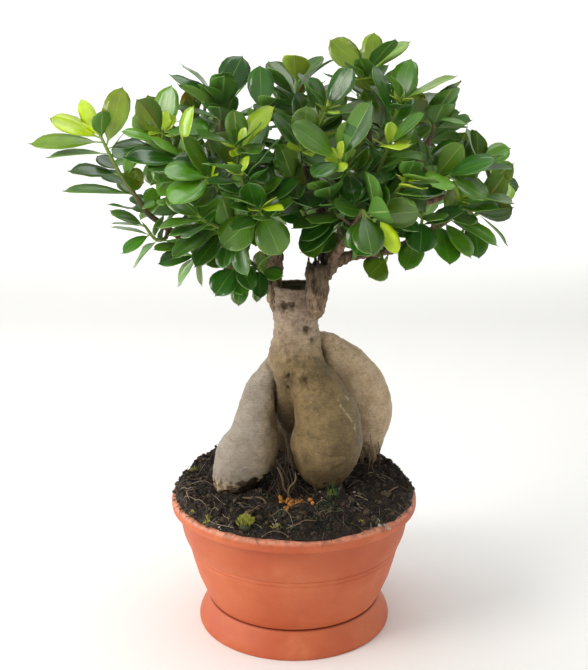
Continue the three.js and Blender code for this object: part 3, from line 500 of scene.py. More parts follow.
TWIGS = {
    "left_tip": on_branch(
        "left", "long", 1, [-135, -61, 400], 2, 0.7,
        via=[[-108, -42, 345], [-114, -46, 356], [-122, -51, 369], [-129, -57, 385]],
        marked=[
            [0.95, [-183, -66, 400], 19, [0, -0.5, 0.85]], [0.98, [-168, -66, 414], 17, [-0.2, -0.6, 0.75]],
            [0.97, [-148, -66, 424], 14, [-0.5, -0.7, 0.4]], [0.91, [-119, -60, 433], 19, [0.1, -0.9, 0.3]],
            [0.86, [-170, -70, 391], 14, [0, -0.25, 1]], [0.52, [-160, -66, 368], 15, [0, -0.35, 0.93]],
            [0.7, [-158, -58, 380], 15, [0, -0.5, 0.85]], [0.9, [-106, -54, 397], 14, [0.2, -0.3, 0.9]],
            [0.72, [-107, -44, 366], 16, [0.3, -0.9, 0.2]], [0.4, [-101, -52, 352], 13, [0.2, -0.6, 0.7]],
            [0.2, [-103, -34, 362], 13, [0.2, -0.95, 0.2]], [0.3, [-133, -52, 353], 10, [0, -0.05, 1]]]),
    "left_low": on_branch("left", "long", 0.92, [-108, -48, 335], 3, 0.8, marked=[
        [0.8, [-125, -54, 318], 14, [-0.2, -0.5, 0.85]], [1, [-124, -60, 345], 13, [0, -0.3, 0.95]]]),
    "left_under": on_branch("left", "long", 0.68, [-78, -42, 320], 3, 0.85, marked=[
        [0.6, [-99, -46, 311], 20, [0, -0.45, 0.9]], [1, [-100, -60, 322], 15, [0, -0.3, 0.95]]]),
    "low_cluster": on_branch("left", "long", 0.4, [-43, -52, 309], 3, 0.75, marked=[
        [0.9, [-57, -62, 288], 21, [-0.1, -0.85, 0.5]], [0.8, [-37, -62, 288], 15, [0.1, -0.8, 0.5]],
        [1, [-29, -68, 294], 14, [0.2, -0.8, 0.4]], [0.94, [-50, -66, 328], 17, [0, -0.8, 0.5]]]),
    "low_inner": on_branch("left", "long", 0.18, [-26, -28, 301], 2, 0.6, marked=[
        [1, [-25, -46, 282], 13, [0.1, -0.9, 0.3]], [0.9, [-9, -38, 297], 13, [0.1, -0.8, 0.6]]]),
    "left_shoulder": on_branch("left", "side", 1, [-97, -14, 400], 4, marked=[
        [0.95, [-111, -30, 423], 21, [0, -0.8, 0.5]], [0.8, [-128, -8, 402], 16, [0, -0.4, 0.9]]]),
    "left_back": on_branch("left", "side", 0.86, [-112, 40, 388], 5),
    "left_wing": on_branch("left", "side", 0.62, [-78, -50, 388], 5, marked=[
        [0.9, [-117, -58, 390], 20, [0.1, -0.6, 0.8]]]),
    "left_heart": on_branch("left", "side", 0.35, [-84, -38, 358], 6),
    "left_top": on_branch("left", "high", 1, [-54, -2, 424], 4, marked=[
        [0.95, [-39, 4, 456], 24, [0, -0.95, 0.25]], [0.9, [-90, 4, 446], 12, [0.3, -0.5, 0.8]],
        [0.6, [-96, 8, 424], 12, [0, -0.25, 0.95]]]),
    "left_ridge": on_branch("left", "high", 0.78, [-22, -14, 416], 5, marked=[
        [0.95, [-25, -12, 448], 20, [0, -1, 0.15]]]),
    "left_face": on_branch("left", "high", 0.6, [-38, -66, 394], 6, marked=[
        [1, [-27, -94, 408], 24, [0, -0.7, 0.7]]]),
    "left_crest": on_branch("left", "high", 0.9, [-86, 36, 408], 5),
    "left_chest": on_branch("left", "high", 0.42, [-58, -86, 374], 6),
    "left_rear": on_branch("left", "back", 1, [-96, 92, 374], 6),
    "left_rear_top": on_branch("left", "back", 0.72, [-62, 66, 408], 6),
    "left_rear_low": on_branch("left", "back", 0.86, [-36, 92, 338], 5),
    "left_rear_side": on_branch("left", "back", 0.6, [-104, 62, 350], 5),
    "front_left": on_branch("left", "front", 1, [-23, -98, 354], 3, 0.8, marked=[
        [0.9, [-49, -104, 330], 25, [-0.2, -0.9, 0.4]], [0.95, [-9, -110, 326], 24, [0.1, -0.95, 0.3]],
        [1, [-8, -112, 358], 9, [0, -0.5, 0.85]]]),
    "front_left_side": on_branch("left", "front", 0.75, [-64, -78, 344], 6),
    "front_left_high": on_branch("left", "front", 0.85, [-36, -94, 378], 5),
    "middle_top": on_branch("right", "middle", 1, [2, 14, 436], 7),
    "middle_face": on_branch("right", "middle", 0.72, [6, -72, 392], 6),
    "middle_heart": on_branch("right", "middle", 0.5, [0, -58, 366], 6),
    "middle_low": on_branch("right", "middle", 0.3, [2, -44, 352], 4),
    "middle_rear": on_branch("right", "middle", 0.82, [0, 62, 418], 6),
    "middle_ridge": on_branch("right", "middle", 0.9, [24, -36, 418], 6),
    "crown_top": on_branch("right", "high", 1, [56, 6, 444], 4, 0.85, marked=[
        [0.95, [27, 8, 467], 20, [-0.2, -0.9, 0.3]], [1, [60, 8, 472], 16, [0, -0.95, 0.2]],
        [0.97, [84, 6, 468], 13, [0, -0.6, 0.8]]]),
    "crown_right": on_branch("right", "high", 0.86, [78, -28, 424], 6, marked=[
        [0.8, [86, -6, 446], 19, [-0.4, -0.8, 0.4]]]),
    "crown_rear": on_branch("right", "high", 0.92, [50, 54, 432], 6),
    "crown_face": on_branch("right", "high", 0.7, [30, -92, 386], 5, marked=[
        [0.97, [50, -98, 425], 17, [-0.3, -0.9, 0.2]]]),
    "crown_heart": on_branch("right", "high", 0.55, [66, -74, 396], 6),
    "right_core": on_branch("right", "side", 0.3, [66, -46, 366], 5),
    "right_mid": on_branch("right", "high", 0.35, [34, -58, 372], 5),
    "right_shoulder": on_branch("right", "side", 1, [104, 3, 415], 4, marked=[
        [0.9, [121, 6, 432], 16, [-0.3, -0.8, 0.4]], [0.8, [133, 12, 407], 14, [0, -0.3, 1]]]),
    "right_rear_top": on_branch("right", "side", 0.8, [104, 52, 404], 6),
    "right_wing": on_branch("right", "side", 0.6, [110, -58, 371], 6),
    "right_tip": on_branch("right", "far", 1, [161, 46, 358], 5, 0.8, marked=[
        [0.95, [184, 52, 353], 14, [0, -0.9, 0.4]]]),
    "right_high": on_branch("right", "far", 0.8, [144, 22, 376], 5, marked=[
        [0.97, [168, 22, 387], 17, [-0.3, -0.8, 0.4]]]),
    "right_rear": on_branch("right", "far", 0.7, [132, 76, 368], 5),
    "right_low": on_branch("right", "long", 1, [142, -14, 342], 4, 0.9, marked=[
        [0.6, [137, -36, 312], 19, [-0.2, -0.8, 0.55]], [0.8, [166, -12, 320], 11, [0, 0.1, 1]]]),
    "right_face": on_branch("right", "long", 0.78, [90, -72, 347], 3, marked=[
        [0.9, [88, -84, 323], 23, [0, -0.95, 0.3]]]),
    "round_leaf": on_branch("right", "long", 0.6, [70, -26, 308], 0, marked=[
        [1, [56, -36, 296], 22, [0, -0.9, 0.4]]]),
    "right_inner": on_branch("right", "long", 0.86, [120, -48, 355], 6),
    "front_right": on_branch("right", "front", 1, [58, -90, 348], 4, marked=[
        [0.9, [42, -102, 324], 26, [0.1, -0.9, 0.4]], [1, [69, -108, 327], 12, [0, -1, 0.2]]]),
    "front_right_high": on_branch("right", "front", 0.82, [76, -92, 374], 6),
    "front_middle": on_branch("right", "front", 0.7, [24, -74, 361], 6),
    "rear_middle": on_branch("right", "back", 1, [2, 93, 372], 6),
    "rear_top": on_branch("right", "back", 0.75, [22, 84, 402], 6),
    "rear_low": on_branch("right", "back", 0.6, [38, 92, 338], 5),
    "rear_corner": on_branch("right", "corner", 1, [102, 84, 372], 6),
    "rear_corner_top": on_branch("right", "corner", 0.7, [74, 78, 396], 6),
}


# The rule sums step by step as the solids' source does, so both place every leaf alike
def dot(a, b):
    return a[0] * b[0] + a[1] * b[1] + a[2] * b[2]


def cross(a, b):
    return np.array((a[1] * b[2] - a[2] * b[1], a[2] * b[0] - a[0] * b[2], a[0] * b[1] - a[1] * b[0]))


def unit(a):
    return a * (1 / math.sqrt(dot(a, a)))


def across(a, way):
    return unit(a - way * dot(a, way))


DICE_STEP = 16807
DICE_SIDES = 2147483647


def dice(seed):
    """A seeded draw of numbers from 0 to 1."""
    state = seed
    while True:
        state = (state * DICE_STEP) % DICE_SIDES
        yield state / DICE_SIDES


def along(rows, share):
    """The row at a share of the way along a smooth curve through rows."""
    last = len(rows) - 1
    spot = min(max(share, 0), 1) * last
    i = min(math.floor(spot), last - 1)
    f = spot - i
    a, b, c, d = (np.array(rows[min(max(k, 0), last)], float) for k in (i - 1, i, i + 1, i + 2))
    bend = 2 * a - 5 * b + 4 * c - d
    twist = 3 * b - a - 3 * c + d
    return 0.5 * (2 * b + (c - a) * f + bend * f * f + twist * f * f * f)


def heading(rows, share):
    """The way a curve runs at a share of its length."""
    near = 0.01
    return unit(along(rows, min(share + near, 1))[:3] - along(rows, max(share - near, 0))[:3])


def rings(rows, steps):
    """For each ring of a tube: its row, and the two ways that span it, carried along without a twist."""
    side = np.array((0.0, 1.0, 0.0) if abs(heading(rows, 0)[0]) > 0.8 else (1.0, 0.0, 0.0))
    for k in range(steps + 1):
        run = heading(rows, k / steps)
        side = across(side, run)
        yield along(rows, k / steps), side, cross(run, side), run


def tube_shape(rows, steps, sides):
    """The points and triangles of a plain tube of the solids, for the tests of what is in the way."""
    points = []
    for row, side, other, _ in rings(rows, steps):
        wide, deep = row[3], row[4 if len(row) > 4 else 3]
        for n in range(sides):
            angle = 2 * math.pi * n / sides
            points.append(row[:3] + (side * (wide * math.cos(angle)) + other * (deep * math.sin(angle))))
    triangles = []
    for k in range(steps):
        for n in range(sides):
            a, b = k * sides + n, k * sides + (n + 1) % sides
            triangles += [(a, b, b + sides), (a, b + sides, a + sides)]
    end = steps * sides
    for n in range(1, sides - 1):
        triangles += [(0, n + 1, n), (end, end + n, end + n + 1)]
    return np.array(points), np.array(triangles)


BLADE_TOP = ((0, 1, 5), (5, 1, 2), (5, 2, 4), (4, 2, 3))
BLADE_COUNT = 6
BLADE_TRIANGLES = np.array(
    [*BLADE_TOP, *((a + BLADE_COUNT, c + BLADE_COUNT, b + BLADE_COUNT) for a, b, c in BLADE_TOP)]
    + [t for a in range(BLADE_COUNT) for b in [(a + 1) % BLADE_COUNT]
       for t in ((a, a + BLADE_COUNT, b + BLADE_COUNT), (a, b + BLADE_COUNT, b))])


def blade_shape(leaf, thick, room, foot):
    """The plain blade that a leaf has in the solids, with room added round its edge."""
    side = cross(leaf["run"], leaf["face"])

    def spot(share, reach):
        rise = thick / 2 - ARCH * leaf["length"] * share * share
        return leaf["base"] + leaf["run"] * (leaf["length"] * share) + side * reach + leaf["face"] * rise

    half = leaf["width"] / 2 + room
    shoulder = leaf["width"] * SHOULDER_WIDTH + room
    upper = np.array((
        spot(0 if foot else FOOT_SHARE, 0), spot(BELLY_SHARE, half), spot(SHOULDER_SHARE, shoulder),
        spot(1 + room / leaf["length"], 0), spot(SHOULDER_SHARE, -shoulder), spot(BELLY_SHARE, -half)))
    return np.vstack((upper, upper - leaf["face"] * thick)), BLADE_TRIANGLES


def obstacle(shape, owner=""):
    """A shape with the ball round it and its edges, to test what crosses it."""
    points, triangles = shape
    middle = points.mean(axis=0)
    pairs = np.vstack((triangles[:, (0, 1)], triangles[:, (1, 2)], triangles[:, (2, 0)]))
    pairs = pairs[pairs[:, 0] < pairs[:, 1]]
    reach = np.sqrt(((points - middle) ** 2).sum(axis=1).max())
    return {"corners": points[triangles], "edges": points[pairs], "middle": middle, "reach": reach,
            "owner": owner}


def pierced(edges, corners):
    """Whether any of these edges goes through any of these triangles."""
    a = corners[None, :, 0]
    ab, ac = corners[None, :, 1] - a, corners[None, :, 2] - a
    line = (edges[:, 1] - edges[:, 0])[:, None]
    h = np.cross(line, ac)
    det = (ab * h).sum(-1)
    good = np.abs(det) >= 1e-9
    det = np.where(good, det, 1)
    s = edges[:, 0][:, None] - a
    u = (s * h).sum(-1) / det
    g = np.cross(s, ab)
    v = (line * g).sum(-1) / det
    t = (ac * g).sum(-1) / det
    return bool((good & (u >= 0) & (v >= 0) & (u + v <= 1) & (t >= 0) & (t <= 1)).any())


def crosses(one, others):
    """Whether a shape goes through any of the others that are near it."""
    near = [o for o in others
            if math.sqrt(((one["middle"] - o["middle"]) ** 2).sum()) <= one["reach"] + o["reach"]]
    if not near:
        return False
    return (pierced(one["edges"], np.concatenate([o["corners"] for o in near]))
            or pierced(np.concatenate([o["edges"] for o in near]), one["corners"]))


def wood_at(rows, steps, share):
    """The middle, radius and run of a twig's wood at a share of its length, straight from ring to ring."""
    spot = share * steps
    ring = min(math.floor(spot), steps - 1)
    start, end = along(rows, ring / steps), along(rows, (ring + 1) / steps)
    row = start * (1 - (spot - ring)) + end * (spot - ring)
    return row[:3], row[3], unit((end - start)[:3])


def twig_rows(twig):
    """The curve of a twig, from just off the bark of its branch to its tip."""
    scion, branch, share = twig["on"]
    rows = SCIONS[scion][branch]
    centre, girth, run = wood_at(rows, BRANCH_STEPS, share)
    is_end = share == 1
    ahead = np.array(twig["via"][0] if twig["via"] else twig["tip"], float)
    out = heading(rows, 1) if is_end else across(ahead - centre, run)
    foot = centre + out * ((0 if is_end else girth) + SEAT_GAP)
    foot_radius = girth if is_end else TWIG_FOOT_RADIUS
    knee = foot + out * FOOT_REACH
    tip = np.array(twig["tip"], float)
    middle = knee * 0.5 + tip * 0.5 + np.array((0, 0, -TWIG_SAG))
    path = [foot, knee, *(np.array(p, float) for p in twig["via"] or [middle]), tip]
    return [np.append(point, foot_radius + (TWIG_TIP_RADIUS - foot_radius) * i / (len(path) - 1))
            for i, point in enumerate(path)]


def settle(twig, leaf, taken):
    """A leaf takes its place: whole for other twigs' leaves, without its foot for those of its own twig."""
    twig["grown"].append(leaf)
    taken.append(obstacle(blade_shape(leaf, LEAF_THICK, 0, True), twig["name"]))
    taken.append(obstacle(blade_shape(leaf, LEAF_THICK, 0, False), twig["name"] + " blade"))


def is_clear(twig, leaf, taken, room):
    """Whether a leaf keeps its room from all that isn't its twig's, and its blade from its twig's blades."""
    name = twig["name"]
    own = [o for o in taken if o["owner"] == name + " blade"]
    if crosses(obstacle(blade_shape(leaf, LEAF_THICK + room, 0, False)), own):
        return False
    others = [o for o in taken if o["owner"] not in (name, name + " wood", name + " blade")]
    return not crosses(obstacle(blade_shape(leaf, LEAF_THICK + 2 * room, room, True)), others)


def place_marked(twig, marked, taken):
    """The leaves listed one by one: share of the twig, tip, width and the way the face looks."""
    for share, tip, width, face in marked:
        base = wood_at(twig["rows"], twig["steps"], share)[0]
        reach = np.array(tip, float) - base
        run = unit(reach)
        settle(twig, {"base": base, "run": run, "face": across(np.array(face, float), run),
                      "length": math.sqrt(dot(reach, reach)), "width": width}, taken)


def grow_leaves(twig, count, size, seed, taken, first=FIRST_LEAF_SHARE, room=LEAF_ROOM, young=None):
    """The leaves that the rule turns round the twig, each turned on and shortened until it is clear."""
    draw = dice(seed)
    for i in range(count):
        share = first + ((LAST_LEAF_SHARE - first) * (i + 1)) / count
        base = wood_at(twig["rows"], twig["steps"], share)[0]
        up = heading(twig["rows"], share)
        side = across(np.array((1.0, 0, 0) if abs(up[2]) > 0.9 else (0, 0, 1.0)), up)
        other = cross(up, side)
        turn = next(draw) * 2 * math.pi
        for attempt in range(TRIES):
            angle = turn + GOLDEN_ANGLE * (i + attempt)
            opening = OPEN_LOW - OPEN_DROP * (share - FIRST_LEAF_SHARE) + OPEN_SPREAD * (next(draw) - 0.5)
            out = side * math.cos(angle) + other * math.sin(angle)
            run = unit(up * math.cos(opening) + out * math.sin(opening) + np.array((0, 0, LIFT)))
            tilt = np.array((TILT_SPREAD * (next(draw) - 0.5), TILT_SPREAD * (next(draw) - 0.5), 0))
            face = across(up * FACE_UP + np.array((0, 0, FACE_UP)) + tilt, run)
            shrink = 1 - SHRINK * attempt
            length = LEAF_LENGTH * size * shrink * (SHORTEST + LENGTH_SPREAD * next(draw))
            width = length * LEAF_WIDTH_SHARE * (NARROWEST + WIDTH_SPREAD * next(draw))
            leaf = {"base": base, "run": run, "face": face, "length": length, "width": width, "young": young}
            if is_clear(twig, leaf, taken, room):
                settle(twig, leaf, taken)
                break


# Wood and the listed leaves stand in the way of the others, so they come first
taken = [obstacle(tube_shape(ROOTSTOCK["neck"], ROOT_STEPS, ROOT_SIDES), "rootstock")]
for scion_name, branches in SCIONS.items():
    for branch_rows in branches.values():
        taken.append(obstacle(tube_shape(branch_rows, BRANCH_STEPS, BRANCH_SIDES), scion_name))
grown = []
for twig_name, twig in TWIGS.items():
    path = twig_rows(twig)
    steps = LONG_TWIG_STEPS if twig["via"] else TWIG_STEPS
    taken.append(obstacle(tube_shape(path, steps, TWIG_SIDES), twig_name + " wood"))
    grown.append({**twig, "name": twig_name, "rows": path, "steps": steps, "grown": []})
for twig in grown:
    place_marked(twig, twig["marked"], taken)
for order, twig in enumerate(grown):
    grow_leaves(twig, twig["leaves"], twig["size"], FIRST_SEED + SEED_STEP * order, taken)

# Sprouts: the freshest leaves, small and lime, at the ends of these twigs
SPROUT_LEAVES = 4
SPROUT_SIZE = {
    "left_shoulder": 0.42, "left_face": 0.4, "left_heart": 0.42, "front_left": 0.4, "middle_face": 0.36,
    "crown_face": 0.36, "crown_heart": 0.42, "front_right_high": 0.36, "right_tip": 0.4, "crown_right": 0.34,
    "left_chest": 0.3, "front_left_high": 0.32, "right_inner": 0.3, "middle_ridge": 0.36, "right_core": 0.32,
    "rear_middle": 0.42, "rear_corner": 0.38, "left_rear": 0.38, "rear_top": 0.36,
}
SPROUT_FIRST = 0.93
SPROUT_YOUTH = 0.75
SPROUT_ROOM = 0.3
SPROUT_SEED = 30011
for order, twig in enumerate(grown):
    if twig["name"] in SPROUT_SIZE:
        grow_leaves(twig, SPROUT_LEAVES, SPROUT_SIZE[twig["name"]], SPROUT_SEED + SEED_STEP * order, taken,
                    SPROUT_FIRST, SPROUT_ROOM, SPROUT_YOUTH)

# Leaves too many for the solids: they fill the room that is left, closer together and a little smaller.
# Twigs on the crown's rim and underside keep their open look.
FILL_LEAVES = 9
FILL_OPEN = {
    "round_leaf": 0, "left_tip": 7, "right_face": 2, "left_under": 3, "left_low": 3, "low_cluster": 4,
    "low_inner": 2, "middle_low": 0, "right_low": 2, "left_shoulder": 4, "left_back": 5, "left_top": 5,
    "right_tip": 4, "right_high": 5, "right_shoulder": 5, "front_left_side": 6, "right_inner": 4,
    "right_wing": 3,
}
FILL_SIZE = 0.82
FILL_FIRST = 0.12
FILL_ROOM = 0.5
FILL_SEED = 60013
for order, twig in enumerate(grown):
    grow_leaves(twig, FILL_OPEN.get(twig["name"], FILL_LEAVES), FILL_SIZE * twig["size"],
                FILL_SEED + SEED_STEP * order, taken, FILL_FIRST, FILL_ROOM)


MM = 0.001


def make_piece(name, bm, materials, slot, *nodes, smooth=True):
    """A piece in metres from a bmesh in millimetres. It rides on the root."""
    mesh = bpy.data.meshes.new(name)
    bm.to_mesh(mesh)
    bm.free()
    mesh.transform(Matrix.Scale(MM, 4))
    mesh.polygons.foreach_set("use_smooth", [smooth] * len(mesh.polygons))
    for material in materials:
        mesh.materials.append(material)
    piece = bpy.data.objects.new(name, mesh)
    bpy.context.collection.objects.link(piece)
    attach(piece, "root")
    if nodes:
        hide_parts(*nodes)
    return piece


def turn(outline, steps, closed=True):
    """A turned form from its outline in radius and height."""
    bm = bmesh.new()
    points = [bm.verts.new((radius, 0, height)) for radius, height in outline]
    edges = [bm.edges.new(pair) for pair in zip(points, points[1:])]
    if closed:
        edges.append(bm.edges.new((points[-1], points[0])))
    bmesh.ops.spin(bm, geom=points + edges, cent=(0, 0, 0), axis=(0, 0, 1), dvec=(0, 0, 0),
                   angle=2 * math.pi, steps=steps, use_merge=True, use_normal_flip=False,
                   use_duplicate=False)
    bmesh.ops.remove_doubles(bm, verts=bm.verts, dist=0.001)
    bmesh.ops.recalc_face_normals(bm, faces=bm.faces)
    return bm


def sweep(bm, rows, steps, sides):
    """Extrudes a closed tube along rows, ring by ring, and gives its points."""
    before = None
    points = []
    for row, side, other, run in rings(rows, steps):
        wide, deep = row[3], row[4 if len(row) > 4 else 3]
        spread = Matrix((Vector(side * wide), Vector(other * deep), Vector(run))).transposed().to_4x4()
        spread.translation = Vector(row[:3])
        if before is None:
            made = bmesh.ops.create_circle(bm, cap_ends=True, radius=1, segments=sides)["verts"]
            bmesh.ops.transform(bm, matrix=spread, verts=made)
            face = made[0].link_faces[0]
            first = face
            if face.normal.dot(Vector(run)) > 0:
                face.normal_flip()
        else:
            out = bmesh.ops.extrude_face_region(bm, geom=[face])["geom"]
            made = [v for v in out if isinstance(v, bmesh.types.BMVert)]
            bmesh.ops.transform(bm, matrix=spread @ before.inverted(), verts=made)
            if face.is_valid and face is not first:
                bmesh.ops.delete(bm, geom=[face], context="FACES_ONLY")
            face = [f for f in out if isinstance(f, bmesh.types.BMFace)][0]
        points += made
        before = spread
    return points


def clamp(share):
    return max(0, min(1, share))


def bell(away, width):
    """1 in the middle, and less and less away from it."""
    return math.exp(-(away / width) ** 2)


# The saucer, upturned: closed floor on top, flared wall, a soft edge on the ground, and open below
SAUCER_TOP_INSIDE = SAUCER_HEIGHT - CLAY_WALL
saucer_outline = [
    (0, SAUCER_TOP_INSIDE), (FOOT_RADIUS - CLAY_WALL - 2, SAUCER_TOP_INSIDE),
    (FOOT_RADIUS - CLAY_WALL, SAUCER_TOP_INSIDE - 0.8), (FOOT_RADIUS - CLAY_WALL + 1, SAUCER_TOP_INSIDE - 3),
    (SAUCER_RADIUS - CLAY_WALL, 0.4), (SAUCER_RADIUS - CLAY_WALL + 0.5, 0), (SAUCER_RADIUS - 1.3, 0),
    (SAUCER_RADIUS - 0.4, 0.3), (SAUCER_RADIUS, 1.2), (SAUCER_RADIUS, 3.2), (SAUCER_RADIUS - 0.7, 5.6),
    (SAUCER_RADIUS - 2.2, 9), (FOOT_RADIUS + 3.2, 15), (FOOT_RADIUS + 1.2, 19.2), (FOOT_RADIUS + 0.5, 20.5),
    (FOOT_RADIUS - 0.4, 21.1), (FOOT_RADIUS - 1.4, SAUCER_HEIGHT), (0, SAUCER_HEIGHT),
]
make_piece("upturned_saucer", turn(saucer_outline, 128, False), [terracotta], "terracotta", "saucer")

# The bowl: a flared body with a pair of turned grooves under its collar band, and a rolled rim
BODY_ROWS = [(70.8, 22.6), (73.5, 28), (76.7, 36), (79.9, 44), (82.2, 52), (83.9, 58), (85.3, 64),
             (87.2, 70), (89.7, 76), (91.6, 82), (92.9, 90), (94.4, 98.6)]
BODY_STEPS = 150
GROOVE_WIDTH = 0.6
GROOVES = ((66.2, 0.8), (70.4, 1.0))
bowl_outline = [
    (DRAIN_RADIUS, BOWL_FOOT), (FOOT_RADIUS - 1.6, BOWL_FOOT), (FOOT_RADIUS - 0.6, BOWL_FOOT + 0.3)]
for k in range(BODY_STEPS + 1):
    radius, height = along(BODY_ROWS, k / BODY_STEPS)
    pressed = sum(depth * bell(height - groove, GROOVE_WIDTH) for groove, depth in GROOVES)
    bowl_outline.append((radius - pressed, height))
bowl_outline += [
    (94.9, 99.5), (95.8, 99.9), (97.6, 100.1), (98.9, 100.6), (99.7, 101.5), (100, 102.8), (100, 106.4),
    (99.6, 108.2), (98.6, 109.4), (97.2, 110), (94.6, 110), (92.8, 109.4), (91.5, 107.8), (90, 104),
    (88, 100), (82, 70), (75, 44), (65, BOWL_FLOOR), (DRAIN_RADIUS, BOWL_FLOOR),
]
bm = turn(bowl_outline, 144)
bowl_faces = BVHTree.FromBMesh(bm)
make_piece("terracotta_bowl", bm, [terracotta], "terracotta", "bowl")

# Peat: a crumbly mound, heaped towards the back, that spills over the bowl's rim
MOUND = [(97.5, 110.3), (96.5, 112.2), (95, 114.2), (92, 116.4), (87, 118.4), (80, 120), (68, 121.2),
         (50, 121.4), (25, 121.4), (0, 121.2)]
MOUND_STEPS = 84
MOUND_FOOT = 110.1
MOUND_EDGE = 98.5
PEAT_REACH = 99.7
HEAP = 4.5


def lumps(x, y):
    """The broad swells of the mound, and its lean to the back."""
    waves = math.sin(x / 9 + 1.3) * math.cos(y / 11) + 0.6 * math.sin(x / 5 + y / 7)
    return 1.6 * waves + MOUND_LEAN * y


def ragged(angle):
    """How far the peat's edge lies from its mean, round the bowl."""
    edge = Vector((2.2 * math.cos(angle), 2.2 * math.sin(angle), 7))
    fine = Vector((9 * math.cos(angle), 9 * math.sin(angle), 3))
    return 3.2 * noise.noise(edge) + 2.4 * noise.noise(fine) - 0.6


def crumble(x, y, z):
    """The crumbly relief of the peat."""
    spot = Vector((x, y, z))
    return (3.2 * noise.noise(spot / 11) + 2.6 * noise.noise(spot / 4.6 + Vector((5, 1, 2)))
            + 1.5 * noise.noise(spot / 2.1))


def heaped(x, y, z):
    """Where a point of the smooth mound comes to lie."""
    radius = math.hypot(x, y)
    edge = 1 + ragged(math.atan2(y, x)) / 96 * clamp((radius - 78) / 14)
    edge = min(edge, PEAT_REACH / max(radius, 1))
    x, y = x * edge, y * edge
    body = clamp((MOUND_EDGE - radius) / 7)
    heap = HEAP * bell(radius - 91, 8) * max(0, y / 90)
    rise = (lumps(x, y) + heap + crumble(x, y, z) * (0.5 + 0.5 * body)) * body
    return x, y, max(MOUND_FOOT + 0.05, z + rise)


peat_outline = [
    (0, BOWL_FLOOR + SEAT_GAP), (64.5, BOWL_FLOOR + SEAT_GAP), (74.5, 44), (81.5, 70), (87.5, 100),
    (89.5, 105), (92.5, 109.7), (94.5, 110.2)]
peat_outline += [tuple(along(MOUND, k / MOUND_STEPS)) for k in range(MOUND_STEPS + 1)]
bm = turn(peat_outline, 280, False)
for vert in bm.verts:
    if vert.co.z > MOUND_FOOT:
        vert.co = heaped(*vert.co)
peat_faces = BVHTree.FromBMesh(bm)
make_piece("peat_mound", bm, [moist_peat], "peat", "peat")


# Rootstock: the neck and its roots, melted into one body, then weathered
def fused(bm, name, voxel, rounds):
    """One skin round overlapping closed tubes, from Blender's voxel remesh, eased in some rounds."""
    mesh = bpy.data.meshes.new(name)
    bm.to_mesh(mesh)
    bm.free()
    draft = bpy.data.objects.new(name, mesh)
    bpy.context.collection.objects.link(draft)
    melt = draft.modifiers.new("melt", "REMESH")
    melt.mode = "VOXEL"
    melt.voxel_size = voxel
    skin = bpy.data.meshes.new_from_object(draft.evaluated_get(bpy.context.evaluated_depsgraph_get()))
    bpy.data.objects.remove(draft)
    bm = bmesh.new()
    bm.from_mesh(skin)
    for _ in range(rounds):
        bmesh.ops.smooth_vert(
            bm, verts=bm.verts, factor=0.5, use_axis_x=True, use_axis_y=True, use_axis_z=True)
    bm.normal_update()
    return bm


def nearness(points, rows, steps=30):
    """How deep each point lies within a root, as its distance from the axis over the root's radius."""
    best = np.full(len(points), 99.0)
    for k in range(steps + 1):
        row = along(rows, k / steps)
        size = (row[3] + row[4]) / 2
        best = np.minimum(best, np.sqrt(((points - row[:3]) ** 2).sum(axis=1)) / size)
    return best


# How high the crease runs between a root and the neck, and between any two roots
NECK_CREASES = {"front": 190, "left": 217, "right": 240}
ROOT_CREASE = 217
# Knots and pits on the front of the neck: x and z, width and depth
PITS = ((-8.5, 266, 3.2, 2.0), (-1.2, 266.5, 2.8, 1.5), (9.8, 247.5, 2.3, 1.9), (14.0, 239, 1.8, 1.2),
        (-4.6, 212, 1.8, 1.6), (8.8, 211, 2.3, 1.6), (-5, 202, 1.7, 1.3), (-3.5, 224, 1.5, 1.0),
        (12, 226, 1.2, 0.8), (-11, 244, 1.5, 0.9), (4, 256, 1.3, 0.7), (-7, 233, 1.2, 0.7))
# Pale marks on the shoulder of the front root, partly scratches and partly painted glints: start and end in x
# and z
SCRATCHES_AND_GLINTS = (((35.6, 193), (38.5, 189)), ((39, 188), (42, 184.5)), ((42.5, 184), (45.5, 180)),
             ((40, 198), (43, 195)), ((47, 177), (48, 173)), ((34, 197), (36, 199)))
SCRATCH_AND_GLINT_WIDTH = 0.7
# Old wrinkles, pressed in: start and end in x and z
WRINKLES = (((20, 157), (26, 154.5)), ((26, 154.5), (33, 157)), ((12, 172), (20, 169)),
            ((30, 144), (38, 146)), ((-20, 217), (-12, 208)), ((-12, 208), (-3, 199)),
            ((2, 198), (9, 206)), ((9, 206), (16, 204)))
WRINKLE_WIDTH = 1.2
# Swellings under the bark: middle, radius and height of each
KNOBS = (((-21, -2, 216), 7, 2.8), ((22, 0, 263), 5, 1.6), ((-19, 2, 267), 5, 1.4),
         ((6, -15, 207), 7, 1.8), ((-9, -14, 214), 6, 1.3), ((20, -6, 234), 6, 1.2),
         ((36, -38, 186), 8, 1.5), ((12, -38, 176), 7, 1.0))
CUT_MIDDLE = Vector((3.1, 8))
CUT_HEIGHT = 278.5
SOIL_LINE = 126


def creased(share, z):
    """How deep a spot lies in the crease between the two parts of the rootstock that are nearest to it."""
    second, first = sorted(share, key=share.get)[-2:]
    root = second if first == "neck" else first
    top = NECK_CREASES.get(root, ROOT_CREASE) if "neck" in (first, second) else ROOT_CREASE
    gap = (share[first] - share[second]) / sum(share.values())
    return clamp((top - z) / 12) * bell(gap, 0.3) * clamp((z - 128) / 10)


def pitted(spot):
    """How deep a spot lies in a pit of the neck, and how high the callus stands there."""
    pit, callus = 0, 0
    if spot.y < 8 and spot.z > 190:
        for x, z, width, depth in PITS:
            away = math.hypot((spot.x - x) / width, (spot.z - z) / (width * 1.25))
            away *= 1 + 0.7 * noise.noise(Vector((spot.x / 2.2, z, spot.z / 2.2)))
            pit += depth * bell(away, 1)
            callus += 0.4 * depth * bell(away - 1.7, 0.5)
    return pit, callus


